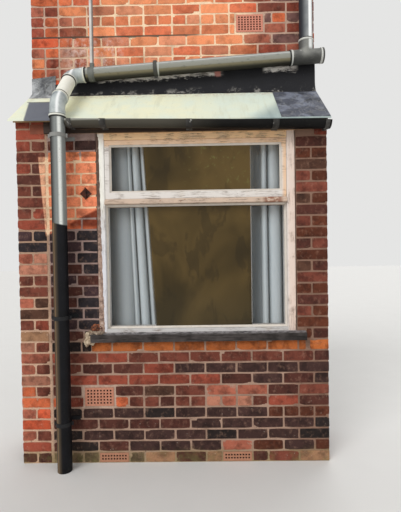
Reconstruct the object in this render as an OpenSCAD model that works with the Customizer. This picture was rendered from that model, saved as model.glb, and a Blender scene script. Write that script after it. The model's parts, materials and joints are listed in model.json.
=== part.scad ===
// Box bay window of a brick terrace house, with its lean-to roof, the strip of
// house wall above it and the soil pipe that crosses it. Millimetres, +Z up.
// The origin is on the ground, under the middle of the front wall.
// X runs along the front, and Y runs from the front into the house.

/* [Bay] */
// Width of the bay and of the house wall above it
bay_w = 2430; // [2300:10:3000]
// How far the bay stands out from the house wall
bay_projection = 330; // [275:5:450]
// Thickness of the brick walls
wall_t = 230; // [215:5:300]
// Height of one brick course with its joint
course_h = 88; // [73:1:106]
// Courses from the ground to the underside of the sill
apron_courses = 11; // [8:1:14]
// Height of the house wall above the roof, rounded to a whole course
house_wall_rise = 836; // [620:4:1200]

/* [Window] */
// Width of the window frame
window_w = 1540; // [1200:5:1660]
// Height of the window frame
window_h = 1566; // [1305:3:1880]
// Distance from the right side wall to the window opening, inside
right_nib_w = 16; // [0:1:60]
// Joint between the frame and the brickwork
frame_gap = 6; // [3:1:10]
// How far the frame lies behind the face of the wall
frame_setback = 15; // [5:1:30]
// Depth of the frame, from front to back
frame_depth = 95; // [85:1:105]
// Width of the left jamb
left_jamb_w = 50; // [40:1:60]
// Width of the right jamb
right_jamb_w = 62; // [40:1:75]
// Bevel on the front edges of the jambs
jamb_bevel = 4; // [2:1:5]
// Height of the frame's head
head_h = 52; // [40:1:60]
// Height of the frame's bottom rail
bottom_rail_h = 26; // [20:1:40]
// Height of the transom
transom_h = 43; // [35:1:60]
// Top of the transom, measured from the underside of the frame
transom_top = 1051; // [875:1:1080]
// How far the glazing stops stand past the jambs and rails
stop_w = 15; // [10:1:20]
// Depth of the glazing stops, at the back of the frame
stop_depth = 45; // [38:1:48]
// How far the transom's drip stands out in front
drip_projection = 24; // [18:1:35]
// Radius of the drip's rounded nose
drip_nose_r = 8; // [5:1:9]
// Width of the groove under the drip
drip_throat = 6; // [4:1:7]
// Width of the top sash's stiles
sash_stile_w = 44; // [35:1:55]
// Height of the top sash's upper rail
sash_top_rail_h = 44; // [35:1:55]
// Height of the top sash's lower rail
sash_bottom_rail_h = 60; // [45:1:70]
// Thickness of the top sash
sash_t = 44; // [38:1:45]
// Bevel on the inner edges of the top sash
sash_bevel = 8; // [4:1:12]
// Gap round the top sash
sash_gap = 2; // [1:0.5:4]
// Depth of the rebate for the top glass, from the sash's face
sash_rebate_depth = 22; // [18:1:26]
// Width of the rebate for the top glass
sash_rebate_w = 9; // [6:1:12]
// Thickness of the glass
glass_t = 4; // [3:1:6]
// Gap between a pane's edges and the timber
glass_seat = 0.3; // [0.2:0.1:1]
// Width and depth of the putty that beds the glass
putty_w = 14; // [10:1:15]

/* [Sill] */
// Height of the slate sill at its back
sill_h = 66; // [50:1:80]
// How far the sill stands out from the wall
sill_projection = 45; // [30:1:60]
// How far the sill runs past the frame at each end
sill_horn = 70; // [40:1:80]
// Fall of the sill's top from back to front
sill_fall = 9; // [4:1:14]
// Width of the drip groove under the sill
drip_groove = 10; // [6:1:12]
// Thickness of the window board inside
board_t = 24; // [18:1:30]
// How far the window board stands into the room
board_nose = 30; // [20:1:50]

/* [Roof] */
// Pitch of the lean-to roof
roof_pitch = 41; // [37:1:45]
// Height of the roof's surface above the window head, at the face of the wall
roof_rise = 149; // [146:1:165]
// How far the roof sheet reaches past the wall at its left end
eave_left = 66; // [60:1:90]
// How far the roof sheet reaches past the wall at its right end
eave_right = 104; // [60:1:104]
// How far the sheet's lower left corner reaches past the end of the wall
verge = 30; // [0:1:40]
// How far the roof boards reach past the wall, under the sheet
deck_overhang = 35; // [25:1:35]
// Thickness of the roof sheet
sheet_t = 6; // [4:1:10]
// Thickness of the roof boards
deck_t = 22; // [18:1:28]
// Depth of the rafters, square to the slope
rafter_d = 75; // [60:1:90]
// Thickness of a rafter
rafter_t = 50; // [38:1:60]
// Number of rafters
rafter_count = 5; // [3:1:8]
// Height of the timber lintel over the window
lintel_h = 75; // [60:1:90]
// How far the ends of lintels, beams and joists are built into a side wall
bearing = 115; // [90:5:150]
// Height of the beam that carries the house wall
beam_h = 264; // [200:1:300]
// Thickness of the fascia board
fascia_t = 20; // [16:1:25]
// Clearance between the roof's lower edge and the downpipe
notch_gap = 8; // [4:1:20]

/* [Flashing] */
// Thickness of the flashing
flashing_t = 5; // [3:1:8]
// How far the flashing reaches down the slope, measured level
flashing_apron = 42; // [30:1:80]
// Height of the flashing on the wall at its left end
flashing_left_h = 78; // [60:1:140]
// Height of the flashing on the wall at its right end
flashing_right_h = 178; // [100:1:178]
// Length of the lead at the left end of the flashing
lead_corner_w = 205; // [150:5:260]
// Height of that lead on the wall at its left end
lead_left_h = 133; // [100:1:160]
// Height of that lead on the wall at its right end
lead_right_h = 156; // [100:1:180]
// How far that lead reaches down the slope, measured level
lead_apron = 67; // [40:1:90]
// Thickness of the lead
lead_t = 3; // [2:0.5:4]
// Width of the lead patch at the right end of the roof
lead_patch_w = 370; // [250:5:450]
// Bare strip of roof between the lead patch and its edges
lead_patch_margin = 4; // [2:1:20]

/* [Gutter] */
// Outer radius of the half-round gutter
gutter_r = 56; // [50:1:62]
// Wall of the gutter
gutter_t = 3; // [2:0.5:4]
// Radius of the bead along each rim
gutter_bead_r = 3.5; // [3:0.5:4]
// Height of the gutter
gutter_h = 52; // [45:1:56]
// Height of the gutter's left end above the window head
gutter_rise = 75; // [55:1:75]
// Fall of the gutter from its left end to its right end
gutter_fall = 45; // [10:1:50]
// Distance from the gutter's right end to the end of the wall
gutter_end_gap = 2; // [1:1:20]
// Width of a gutter bracket
gutter_bracket_w = 32; // [25:1:40]
// Width of a bracket that joins two lengths of gutter
gutter_union_w = 46; // [40:1:60]
// Thickness of a gutter bracket
gutter_bracket_t = 4; // [3:1:6]
// Thickness of a gutter bracket's back plate
gutter_plate_t = 10; // [8:1:12]
// Distance from the gutter's ends to the first and last bracket
gutter_bracket_inset = 30; // [25:1:60]
// Distance from the gutter's left end to the first joint
first_union = 282; // [150:1:400]
// Distance from one joint to the next
union_step = 650; // [400:10:900]

/* [Soil pipe] */
// Outer radius of the soil pipe
pipe_r = 55; // [46:1:66]
// Wall of the soil pipe
pipe_t = 3.2; // [3:0.2:5]
// Downpipe's middle, measured from the left corner of the bay
pipe_from_corner = 370; // [300:5:400]
// Gap between the bay's face and the sockets on the downpipe
downpipe_gap = 38; // [20:1:60]
// Gap between the house wall and the sockets on the run
run_gap = 13; // [10:1:30]
// Slope of the run along the house wall
run_slope = 3.5; // [2.5:0.1:4]
// Height of the run's lower end above the top of the roof
run_rise = 120; // [115:1:180]
// Clearance between a pipe or gutter and what holds it
pipe_fit = 0.3; // [0.2:0.1:0.6]
// Gap between a pipe's end and the bottom of its socket
pipe_seat = 2; // [1:0.5:5]
// Wall of a socket
socket_t = 4; // [3:0.5:6]
// Depth of a socket
socket_l = 50; // [40:1:60]
// Length of the collar at a socket's mouth
collar_l = 12; // [8:1:16]
// Thickness of the collar at a socket's mouth
collar_t = 3; // [2:0.5:5]
// Radius inside the bend of the lower elbow
lower_throat = 73; // [50:1:95]
// Radius inside the bend of the upper elbow
upper_throat = 9; // [6:1:20]
// Wall of an elbow's bend, past the outside of the pipe
bend_t = 2; // [1:0.5:3]
// Distance from the right end of the bay to the stack's middle
stack_from_end = 92; // [75:1:150]
// Half the length of the tee between its sockets
tee_half = 78; // [70:1:95]
// Height of the tee's branch above the run's middle
tee_rise = 85; // [75:1:110]
// Height of the cap's flange
cap_flange_h = 14; // [10:1:20]
// Width across the corners of the cap's six-sided grip
cap_grip_w = 48; // [36:1:60]
// Height of the cap's grip
cap_grip_h = 12; // [8:1:20]

/* [Pipe brackets] */
// Width of a pipe bracket
bracket_w = 30; // [20:1:40]
// Thickness of a bracket's ring
bracket_ring_t = 4; // [3:1:6]
// Width of the web between the ring and the plate
bracket_web_w = 24; // [16:1:40]
// Thickness of the plate on the wall
bracket_plate_t = 6; // [4:1:8]
// How far the plate's ears reach past the pipe
bracket_ear = 42; // [30:1:60]
// Half the length of the short ear on the run's bracket
short_ear = 24; // [15:1:24]
// Length of the lugs where the two halves of a ring meet
bracket_lug_l = 14; // [10:1:20]
// Thickness of a pair of lugs
bracket_lug_t = 8; // [6:1:12]
// Height of the lowest bracket
low_bracket_z = 366; // [150:2:450]
// Height of the middle bracket
middle_bracket_z = 1176; // [800:4:1500]
// Distance from the window head down to the top bracket
top_bracket_drop = 45; // [30:5:500]
// Distance from the downpipe to the run's bracket, along the run
run_bracket_place = 708; // [300:4:1200]

/* [Waste pipe] */
// Outer radius of the thin waste pipe
waste_r = 16; // [14:1:20]
// Wall of the thin waste pipe
waste_t = 2; // [1.5:0.5:3]
// Middle of the waste pipe, measured from the downpipe
waste_offset = 172; // [155:1:300]
// Width of the strap that holds the boss on the run
strap_w = 50; // [36:1:60]
// Thickness of the strap and of the boss
strap_t = 4; // [3:1:6]
// Height of the boss above the run, up to the waste pipe's foot
boss_rise = 12; // [8:1:20]
// Depth of the boss's socket
boss_depth = 22; // [18:1:30]

/* [Air bricks] */
// Width of an air brick
air_brick_w = 228; // [215:1:235]
// Height of a one-course air brick
low_air_brick_h = 72; // [64:1:72]
// Height of a two-course air brick
tall_air_brick_h = 146; // [130:1:146]
// Depth of an air brick
air_brick_d = 50; // [40:1:65]
// Side of a square hole in an air brick
vent_hole = 13; // [9:1:14]
// Solid rim round the holes
vent_rim = 12; // [8:1:16]
// Middle of the tall air brick, measured from the bay's left corner
apron_vent_in = 618; // [560:1:900]
// Middle of a low air brick, measured from the bay's nearer corner
low_vent_in = 727; // [400:1:900]
// Middle of the air brick in the house wall, measured from its right end
upper_vent_in = 551; // [300:1:900]
// Course that the tall air brick in the apron stands on
apron_vent_course = 5; // [4:1:6]
// Courses from the top of the house wall down to its air brick
upper_vent_drop = 2; // [1:1:3]

/* [Inside] */
// Height of the floor above the ground
floor_z = 222; // [205:1:300]
// Thickness of the floor boards
floor_board_t = 22; // [18:1:28]
// Height of a floor joist
joist_h = 100; // [75:1:100]
// Thickness of a floor joist
joist_t = 50; // [38:1:60]
// Number of floor joists
joist_count = 3; // [2:1:4]
// Gap from the first joist to the front wall and from the last to the back
joist_gap = 30; // [20:1:50]
// Thickness of the plaster and of the ceiling board
plaster_t = 13; // [10:1:15]
// Outer radius of the curtain rail
rail_r = 8; // [6:1:12]
// Distance from the window head down to the middle of the curtain rail
rail_drop = 45; // [35:1:60]
// Radius of the sockets that hold the ends of the rail
rail_socket_r = 17; // [14:1:20]
// Depth of the sockets that hold the ends of the rail
rail_socket_d = 4; // [2:0.5:4]
// Thickness of a hanging curtain
curtain_t = 50; // [40:1:60]
// Width of the left curtain
left_curtain_w = 420; // [250:5:460]
// Width of the right curtain
right_curtain_w = 320; // [250:5:420]
// Gap between the curtains and what is beside and below them
curtain_gap = 5; // [4:1:8]
// Clearance between the top of the curtains and the rail
rail_fit = 0.3; // [0.2:0.1:1]

/* [Wall hook] */
// Middle of the iron hook, measured from the window opening
hook_from_window = 88; // [60:1:120]
// Height of the iron hook, measured down from the window head
hook_drop = 470; // [300:5:700]
// Size of the hook's diamond plate, corner to corner
hook_size = 92; // [70:1:100]
// Thickness of the diamond plate
hook_plate_t = 6; // [4:1:8]
// Width of the bar across the plate
hook_bar_w = 10; // [8:1:14]
// Thickness of the bar across the plate
hook_bar_t = 12; // [8:1:16]

/* [Hidden] */
$fn = 64;
// How far a cut runs past the faces it goes through
cut = 1;

// Planes that the walls share
left_x = -bay_w / 2;
right_x = bay_w / 2;
side_inner_x = right_x - wall_t;
front_y = -wall_t / 2;
inner_y = front_y + wall_t;
house_y = front_y + bay_projection;
back_y = house_y + wall_t;
sill_z = apron_courses * course_h;
frame_z = sill_z + sill_h;
head_z = frame_z + window_h;

// Window frame and opening
opening_x1 = side_inner_x - right_nib_w;
opening_x0 = opening_x1 - window_w - 2 * frame_gap;
frame_x0 = opening_x0 + frame_gap;
frame_x1 = opening_x1 - frame_gap;
frame_y = front_y + frame_setback;
frame_back_y = frame_y + frame_depth;
stop_y = frame_back_y - stop_depth;
daylight_x0 = frame_x0 + left_jamb_w;
daylight_x1 = frame_x1 - right_jamb_w;
transom_z = frame_z + transom_top;
pane_z0 = frame_z + bottom_rail_h;
pane_z1 = transom_z - transom_h;
pane_y = stop_y - glass_t;
sill_x0 = frame_x0 - sill_horn;
sill_x1 = frame_x1 + sill_horn;
sill_front_y = front_y - sill_projection;
reveal_x0 = opening_x0 + plaster_t;
reveal_x1 = opening_x1 - plaster_t;
plaster_y = inner_y + plaster_t;

// Top sash and the rebate for its glass
sash_x0 = daylight_x0 + sash_gap;
sash_x1 = daylight_x1 - sash_gap;
sash_z0 = transom_z + sash_gap;
sash_z1 = head_z - head_h - sash_gap;
sash_y = stop_y - sash_t;
sash_light_x0 = sash_x0 + sash_stile_w;
sash_light_x1 = sash_x1 - sash_stile_w;
sash_light_z0 = sash_z0 + sash_bottom_rail_h;
sash_light_z1 = sash_z1 - sash_top_rail_h;
sash_pane_y = sash_y + sash_rebate_depth;

// Roof, as heights above a place measured along Y
function slope_z(y) = head_z + roof_rise + (y - front_y) * tan(roof_pitch);
function upright(t) = t / cos(roof_pitch);
ridge_z = slope_z(house_y);
eave_skew = (eave_right - eave_left) / bay_w;
function eave_y(x) = front_y - eave_left - (x - left_x) * eave_skew;
sheet_drop = upright(sheet_t);
deck_drop = upright(sheet_t + deck_t);
rafter_drop = upright(sheet_t + deck_t + rafter_d);
top_course = round((ridge_z + house_wall_rise) / course_h);
top_z = top_course * course_h;
flashing_x0 = left_x + lead_corner_w;

// Air bricks, by the height of the middle of their courses
apron_vent_x = left_x + apron_vent_in;
left_vent_x = left_x + low_vent_in;
right_vent_x = right_x - low_vent_in;
upper_vent_x = right_x - upper_vent_in;
low_vent_z = course_h / 2;
apron_vent_z = (apron_vent_course + 1) * course_h;
upper_vent_z = (top_course - upper_vent_drop - 1) * course_h;

// Soil pipe
socket_r = pipe_r + pipe_fit + socket_t;
collar_r = socket_r + collar_t;
pipe_stand_off = downpipe_gap + collar_r;
run_stand_off = run_gap + collar_r;
pipe_x = left_x + pipe_from_corner;
pipe_y = front_y - pipe_stand_off;
run_y = house_y - run_stand_off;
run_z = ridge_z + run_rise;
stack_x = right_x - stack_from_end;
offset_rise = run_y - pipe_y;
bend_z = run_z - offset_rise;
run_length = (stack_x - pipe_x) / cos(run_slope);
stack_z = run_z + run_length * sin(run_slope);

// Elbows: the bend from upright to 45 degrees, and the turn into the sloping run
lower_bend_r = pipe_r + bend_t + lower_throat;
upper_bend_r = pipe_r + bend_t + upper_throat;
upper_bend_angle = acos(sin(45) * sin(run_slope));
upper_bend_turn = atan(sin(45) * tan(run_slope));
lower_leg = lower_bend_r * tan(45 / 2);
upper_leg = upper_bend_r * tan(upper_bend_angle / 2);
bend_lap = 1.5;

// Lengths of pipe between the sockets
lower_elbow_z = bend_z - lower_leg;
offset_length = offset_rise * sqrt(2) - lower_leg - upper_leg - 2 * pipe_seat;
run_start = upper_leg + pipe_seat;
run_end = run_length - tee_half - pipe_seat;
long_ear = pipe_r + bracket_ear;

// Waste pipe and its boss
waste_x = pipe_x + waste_offset;
waste_at = waste_offset / cos(run_slope);
waste_z = run_z + waste_offset * tan(run_slope);
waste_foot_z = waste_z + pipe_r + boss_rise;

// Gutter, which slopes down from its left end
gutter_reach = gutter_r + pipe_fit + gutter_bracket_t;
gutter_y = front_y - fascia_t - gutter_reach;
gutter_z = head_z + gutter_rise;
gutter_x0 = pipe_x + pipe_r + notch_gap;
gutter_run = right_x - gutter_end_gap - gutter_x0;
gutter_angle = atan(gutter_fall / gutter_run);
gutter_length = gutter_run / cos(gutter_angle);
last_bracket = gutter_length - gutter_bracket_inset;

// Curtain rail and curtains
rail_y = frame_back_y + curtain_gap + curtain_t / 2;
rail_z = head_z - rail_drop;
curtain_top = rail_z - rail_r - rail_fit;
curtain_foot = frame_z + board_t + curtain_gap;

// Extrudes a (Y, Z) outline from x0 to x1
module along_x(x0, x1) {
    translate([x0, 0, 0])
        rotate([90, 0, 90])
            linear_extrude(x1 - x0)
                children();
}

// Extrudes an (X, Z) outline from y0 to y1
module along_y(y0, y1) {
    translate([0, y1, 0])
        rotate([90, 0, 0])
            linear_extrude(y1 - y0)
                children();
}

// Extrudes an (X, Y) outline from z0 to z1
module along_z(z0, z1) {
    translate([0, 0, z0])
        linear_extrude(z1 - z0)
            children();
}

// A box between two opposite corners
module box(a, b) {
    translate(a)
        cube(b - a);
}

// Rectangular funnel along Y, from its narrow end at y0 to its wide end at y1
module funnel(x0, x1, z0, z1, y0, y1, grow) {
    intersection() {
        along_x(x0 - grow, x1 + grow)
            polygon([[y0, z0], [y1, z0 - grow], [y1, z1 + grow], [y0, z1]]);
        along_z(z0 - grow, z1 + grow)
            polygon([[x0, y0], [x0 - grow, y1], [x1 + grow, y1], [x1, y0]]);
    }
}

// A (Y, Z) band that follows the roof between two depths under its surface
module slope_band(y0, y1, top_drop, foot_drop) {
    polygon([
        [y0, slope_z(y0) - foot_drop],
        [y1, slope_z(y1) - foot_drop],
        [y1, slope_z(y1) - top_drop],
        [y0, slope_z(y0) - top_drop]
    ]);
}

// Space of an air brick, through the wall from y0 to y1
module vent_space(x, z, h, y0, y1) {
    box([x - air_brick_w / 2, y0, z - h / 2], [x + air_brick_w / 2, y1, z + h / 2]);
}

// Space of the window lintel
module lintel_space() {
    box(
        [-side_inner_x - bearing, front_y, head_z],
        [side_inner_x + bearing, inner_y, head_z + lintel_h]
    );
}

// Space of the beam that carries the house wall
module beam_space() {
    box(
        [-side_inner_x - bearing, house_y, head_z],
        [side_inner_x + bearing, back_y, head_z + beam_h]
    );
}

// Spaces of the floor joists, which run from side wall to side wall
module joist_spaces() {
    first_y = inner_y + joist_gap;
    last_y = back_y - joist_gap - joist_t;
    joist_z = floor_z - floor_board_t - joist_h;
    for (i = [0 : joist_count - 1]) {
        y = first_y + i * (last_y - first_y) / (joist_count - 1);
        box(
            [-side_inner_x - bearing, y, joist_z],
            [side_inner_x + bearing, y + joist_t, joist_z + joist_h]
        );
    }
}

module front_wall() {
    color("brown")
        difference() {
            box([left_x, front_y, 0], [right_x, inner_y, head_z]);
            box([opening_x0, front_y - cut, frame_z], [opening_x1, inner_y + cut, head_z + cut]);
            box([sill_x0, front_y - cut, sill_z], [sill_x1, frame_back_y, frame_z]);
            vent_space(apron_vent_x, apron_vent_z, tall_air_brick_h, front_y - cut, inner_y + cut);
            vent_space(left_vent_x, low_vent_z, low_air_brick_h, front_y - cut, inner_y + cut);
            vent_space(right_vent_x, low_vent_z, low_air_brick_h, front_y - cut, inner_y + cut);
        }
}

// Side wall with the brick cheek that closes the end of the roof
module side_wall(x0, x1) {
    difference() {
        along_x(x0, x1)
            polygon([
                [inner_y, 0],
                [back_y, 0],
                [back_y, head_z],
                [house_y, head_z],
                [house_y, ridge_z - deck_drop],
                [front_y, slope_z(front_y) - deck_drop],
                [front_y, head_z],
                [inner_y, head_z]
            ]);
        lintel_space();
        joist_spaces();
    }
}

module left_side_wall() {
    color("brown")
        side_wall(left_x, -side_inner_x);
}

module right_side_wall() {
    color("brown")
        side_wall(side_inner_x, right_x);
}

module upper_wall() {
    color("orangered")
        difference() {
            box([left_x, house_y, head_z], [right_x, back_y, top_z]);
            beam_space();
            box(
                [-side_inner_x, house_y - cut, head_z - cut],
                [side_inner_x, back_y + cut, head_z + beam_h]
            );
            vent_space(upper_vent_x, upper_vent_z, tall_air_brick_h, house_y - cut, back_y + cut);
        }
}

module house_beam() {
    color("peru")
        beam_space();
}

module window_lintel() {
    color("peru")
        lintel_space();
}

// Rafters, notched over the lintel
module rafters() {
    spacing = (2 * side_inner_x - rafter_t) / (rafter_count - 1);
    color("burlywood")
        for (i = [0 : rafter_count - 1]) {
            x = -side_inner_x + i * spacing;
            difference() {
                along_x(x, x + rafter_t)
                    slope_band(front_y, house_y, deck_drop, rafter_drop);
                box(
                    [x - cut, front_y - cut, head_z - rafter_d],
                    [x + rafter_t + cut, inner_y, head_z + lintel_h]
                );
            }
        }
}

// Cut that lets the downpipe pass the roof's lower edge
module pipe_notch() {
    translate([pipe_x, pipe_y, head_z])
        cylinder(r = pipe_r + notch_gap, h = ridge_z - head_z);
}

module roof_boards() {
    color("tan")
        difference() {
            along_x(left_x, right_x)
                slope_band(front_y - deck_overhang, house_y, sheet_drop, deck_drop);
            pipe_notch();
        }
}

// Roof sheet, whose lower and left edges were cut out of square
module roof_sheet() {
    color("beige")
        difference() {
            intersection() {
                along_x(left_x - verge, right_x)
                    slope_band(min(eave_y(left_x - verge), eave_y(right_x)), house_y, 0, sheet_drop);
                along_z(head_z, ridge_z)
                    polygon([
                        [left_x - verge, eave_y(left_x - verge)],
                        [right_x, eave_y(right_x)],
                        [right_x, house_y],
                        [left_x, house_y]
                    ]);
            }
            pipe_notch();
        }
}

// Fascia, from the inside of the left wall to the right end
module fascia_board() {
    color("dimgray")
        along_x(-side_inner_x, right_x)
            polygon([
                [front_y - fascia_t, head_z],
                [front_y, head_z],
                [front_y, slope_z(front_y) - deck_drop],
                [front_y - fascia_t, slope_z(front_y - fascia_t) - deck_drop]
            ]);
}

// Flashing dressed down the roof and up the wall, where it rises from h0 to h1
module flashing(x0, x1, t, apron, h0, h1) {
    y0 = house_y - apron;
    top = ridge_z + max(h0, h1);
    difference() {
        along_x(x0, x1)
            polygon([
                [y0, slope_z(y0)],
                [house_y, ridge_z],
                [house_y, top],
                [house_y - t, top],
                [house_y - t, ridge_z + upright(t)],
                [y0, slope_z(y0) + upright(t)]
            ]);
        along_y(house_y - t - cut, house_y + cut)
            polygon([[x0, ridge_z + h0], [x1, ridge_z + h1], [x1, top + cut], [x0, top + cut]]);
    }
}

module roof_flashing() {
    color("black")
        flashing(
            flashing_x0, right_x, flashing_t, flashing_apron, flashing_left_h, flashing_right_h
        );
}

module lead_corner() {
    color("gray")
        flashing(left_x, flashing_x0, lead_t, lead_apron, lead_left_h, lead_right_h);
}

module lead_patch() {
    x0 = right_x - lead_patch_w;
    foot_y = max(eave_y(x0), eave_y(right_x)) + lead_patch_margin;
    color("lightslategray")
        along_x(x0, right_x)
            slope_band(foot_y, house_y - flashing_apron - lead_patch_margin, -upright(lead_t), 0);
}

// Places its children on the gutter, whose left end's rim is at the origin
module at_gutter() {
    translate([gutter_x0, gutter_y, gutter_z])
        rotate([0, gutter_angle, 0])
            children();
}

// Round (Y, Z) outline of the gutter, grown to a radius
module gutter_round(r) {
    translate([0, gutter_r - gutter_h])
        circle(r = r, $fn = 96);
}

// The part of a (Y, Z) outline that lies under the gutter's rim
module under_rim() {
    intersection() {
        children();
        translate([-2 * gutter_r, -2 * gutter_r])
            square([4 * gutter_r, 2 * gutter_r]);
    }
}

module gutter() {
    color("black")
        at_gutter() {
            along_x(0, gutter_length) {
                under_rim()
                    difference() {
                        gutter_round(gutter_r);
                        gutter_round(gutter_r - gutter_t);
                    }
                for (side = [-1, 1])
                    translate([side * (gutter_r - gutter_t / 2 - gutter_bead_r), -gutter_bead_r])
                        circle(r = gutter_bead_r, $fn = 32);
            }
            for (x = [0, gutter_length - gutter_t])
                along_x(x, x + gutter_t)
                    under_rim()
                        gutter_round(gutter_r);
        }
}

// Bracket round the gutter, with its back plate on the fascia
module gutter_bracket(x, w) {
    along_x(x - w / 2, x + w / 2)
        difference() {
            union() {
                under_rim()
                    gutter_round(gutter_reach);
                translate([gutter_reach - gutter_plate_t, -gutter_h])
                    square([gutter_plate_t, gutter_h]);
            }
            gutter_round(gutter_r + pipe_fit);
        }
}

module gutter_brackets() {
    color("dimgray")
        at_gutter() {
            for (x = [gutter_bracket_inset, last_bracket])
                gutter_bracket(x, gutter_bracket_w);
            for (x = [first_union : union_step : last_bracket - 2 * gutter_union_w])
                gutter_bracket(x, gutter_union_w);
        }
}

module floor_joists() {
    color("burlywood")
        joist_spaces();
}

module floor_boards() {
    color("tan")
        box(
            [-side_inner_x, inner_y, floor_z - floor_board_t],
            [side_inner_x, back_y, floor_z]
        );
}

module bay_ceiling() {
    color("whitesmoke")
        box(
            [-side_inner_x, inner_y, head_z - plaster_t],
            [side_inner_x, back_y, head_z]
        );
}

// Space of the window board, from reveal to reveal, with a rounded nose
module board_space() {
    nose_r = board_t / 2;
    nose_y = plaster_y + board_nose - nose_r;
    along_x(opening_x0, opening_x1) {
        translate([frame_back_y, frame_z])
            square([nose_y - frame_back_y, board_t]);
        translate([nose_y, frame_z + nose_r])
            circle(r = nose_r, $fn = 32);
    }
}

// Plaster on the front wall and in the window's reveals
module front_plaster() {
    plaster_top = head_z - plaster_t;
    color("whitesmoke")
        difference() {
            box([-side_inner_x, frame_back_y, floor_z], [side_inner_x, plaster_y, plaster_top]);
            box([-side_inner_x - cut, frame_back_y - cut, 0], [opening_x0, inner_y, head_z]);
            box([opening_x1, frame_back_y - cut, 0], [side_inner_x + cut, inner_y, head_z]);
            box([opening_x0 - cut, frame_back_y - cut, 0], [opening_x1 + cut, inner_y, frame_z]);
            box([reveal_x0, frame_back_y - cut, frame_z], [reveal_x1, plaster_y + cut, head_z]);
            board_space();
            vent_space(apron_vent_x, apron_vent_z, tall_air_brick_h, inner_y - cut, plaster_y + cut);
        }
}

module side_plaster() {
    color("whitesmoke")
        for (x = [-side_inner_x, side_inner_x - plaster_t])
            box([x, plaster_y, floor_z], [x + plaster_t, back_y, head_z - plaster_t]);
}

module window_board() {
    color("white")
        board_space();
}

// Jamb of width w along Z, with its outer side at X = 0 and its stop at the back
module jamb(w) {
    along_z(frame_z, head_z)
        polygon([
            [0, frame_y],
            [w - jamb_bevel, frame_y],
            [w, frame_y + jamb_bevel],
            [w, stop_y],
            [w + stop_w, stop_y],
            [w + stop_w, frame_back_y],
            [0, frame_back_y]
        ]);
}

module frame_jambs() {
    color("white") {
        translate([frame_x0, 0, 0])
            jamb(left_jamb_w);
        translate([frame_x1, 0, 0])
            mirror([1, 0, 0])
                jamb(right_jamb_w);
    }
}

// Cross-piece between the jambs, with its stops at the back from s0 to s1
module cross_piece(z0, z1, s0, s1) {
    box([daylight_x0, frame_y, z0], [daylight_x1, stop_y, z1]);
    box([daylight_x0 + stop_w, stop_y, s0], [daylight_x1 - stop_w, frame_back_y, s1]);
}

module frame_head() {
    color("white")
        cross_piece(head_z - head_h, head_z, head_z - head_h - stop_w, head_z);
}

module frame_bottom_rail() {
    color("white")
        cross_piece(frame_z, pane_z0, frame_z, pane_z0 + stop_w);
}

// (Y, Z) outline of the transom's drip, with a rounded nose and a groove below
module drip_outline() {
    nose_y = frame_y - drip_projection + drip_nose_r;
    difference() {
        union() {
            polygon([
                [frame_y + cut, pane_z1],
                [frame_y + cut, transom_z],
                [frame_y, transom_z],
                [nose_y, pane_z1 + 2 * drip_nose_r],
                [nose_y, pane_z1]
            ]);
            translate([nose_y, pane_z1 + drip_nose_r])
                circle(r = drip_nose_r, $fn = 48);
        }
        translate([(nose_y + frame_y) / 2, pane_z1])
            circle(d = drip_throat, $fn = 24);
    }
}

module frame_transom() {
    color("wheat") {
        cross_piece(pane_z1, transom_z, pane_z1 - stop_w, transom_z + stop_w);
        along_x(daylight_x0, daylight_x1)
            drip_outline();
    }
}

// Space of the top glass from y0 to y1, wider by a clearance
module sash_pane_space(y0, y1, clearance) {
    r = sash_rebate_w + clearance;
    box(
        [sash_light_x0 - r, y0, sash_light_z0 - r],
        [sash_light_x1 + r, y1, sash_light_z1 + r]
    );
}

// Top sash, rebated for its glass in front and bevelled inside
module top_sash() {
    color("white")
        difference() {
            box([sash_x0, sash_y, sash_z0], [sash_x1, stop_y, sash_z1]);
            box(
                [sash_light_x0, sash_y - cut, sash_light_z0],
                [sash_light_x1, stop_y + cut, sash_light_z1]
            );
            sash_pane_space(sash_y - cut, sash_pane_y + glass_t, glass_seat);
            funnel(
                sash_light_x0, sash_light_x1, sash_light_z0, sash_light_z1,
                stop_y - sash_bevel, stop_y + cut, sash_bevel + cut
            );
        }
}

module window_glass() {
    color("lightblue", 0.5) {
        sash_pane_space(sash_pane_y, sash_pane_y + glass_t, 0);
        box(
            [daylight_x0 + glass_seat, pane_y, pane_z0 + glass_seat],
            [daylight_x1 - glass_seat, stop_y, pane_z1 - glass_seat]
        );
    }
}

// Bevelled putty round a pane, from the face of the glass at y forward
module putty_ring(x0, x1, z0, z1, y) {
    difference() {
        box([x0, y - putty_w, z0], [x1, y, z1]);
        funnel(
            x0 + putty_w + cut, x1 - putty_w - cut, z0 + putty_w + cut, z1 - putty_w - cut,
            y + cut, y - putty_w - cut, putty_w + 2 * cut
        );
    }
}

module putty_beads() {
    r = sash_rebate_w + glass_seat;
    color("ivory") {
        putty_ring(daylight_x0, daylight_x1, pane_z0, pane_z1, pane_y);
        putty_ring(
            sash_light_x0 - r, sash_light_x1 + r, sash_light_z0 - r, sash_light_z1 + r, sash_pane_y
        );
    }
}

// Slate sill with a weathered top and a drip groove below
module window_sill() {
    color("darkslategray")
        difference() {
            along_x(sill_x0, sill_x1)
                polygon([
                    [sill_front_y, sill_z],
                    [frame_back_y, sill_z],
                    [frame_back_y, frame_z],
                    [frame_y, frame_z],
                    [sill_front_y, frame_z - sill_fall]
                ]);
            along_x(sill_x0 - cut, sill_x1 + cut)
                translate([sill_front_y + drip_groove, sill_z])
                    circle(d = drip_groove, $fn = 32);
        }
}

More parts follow.
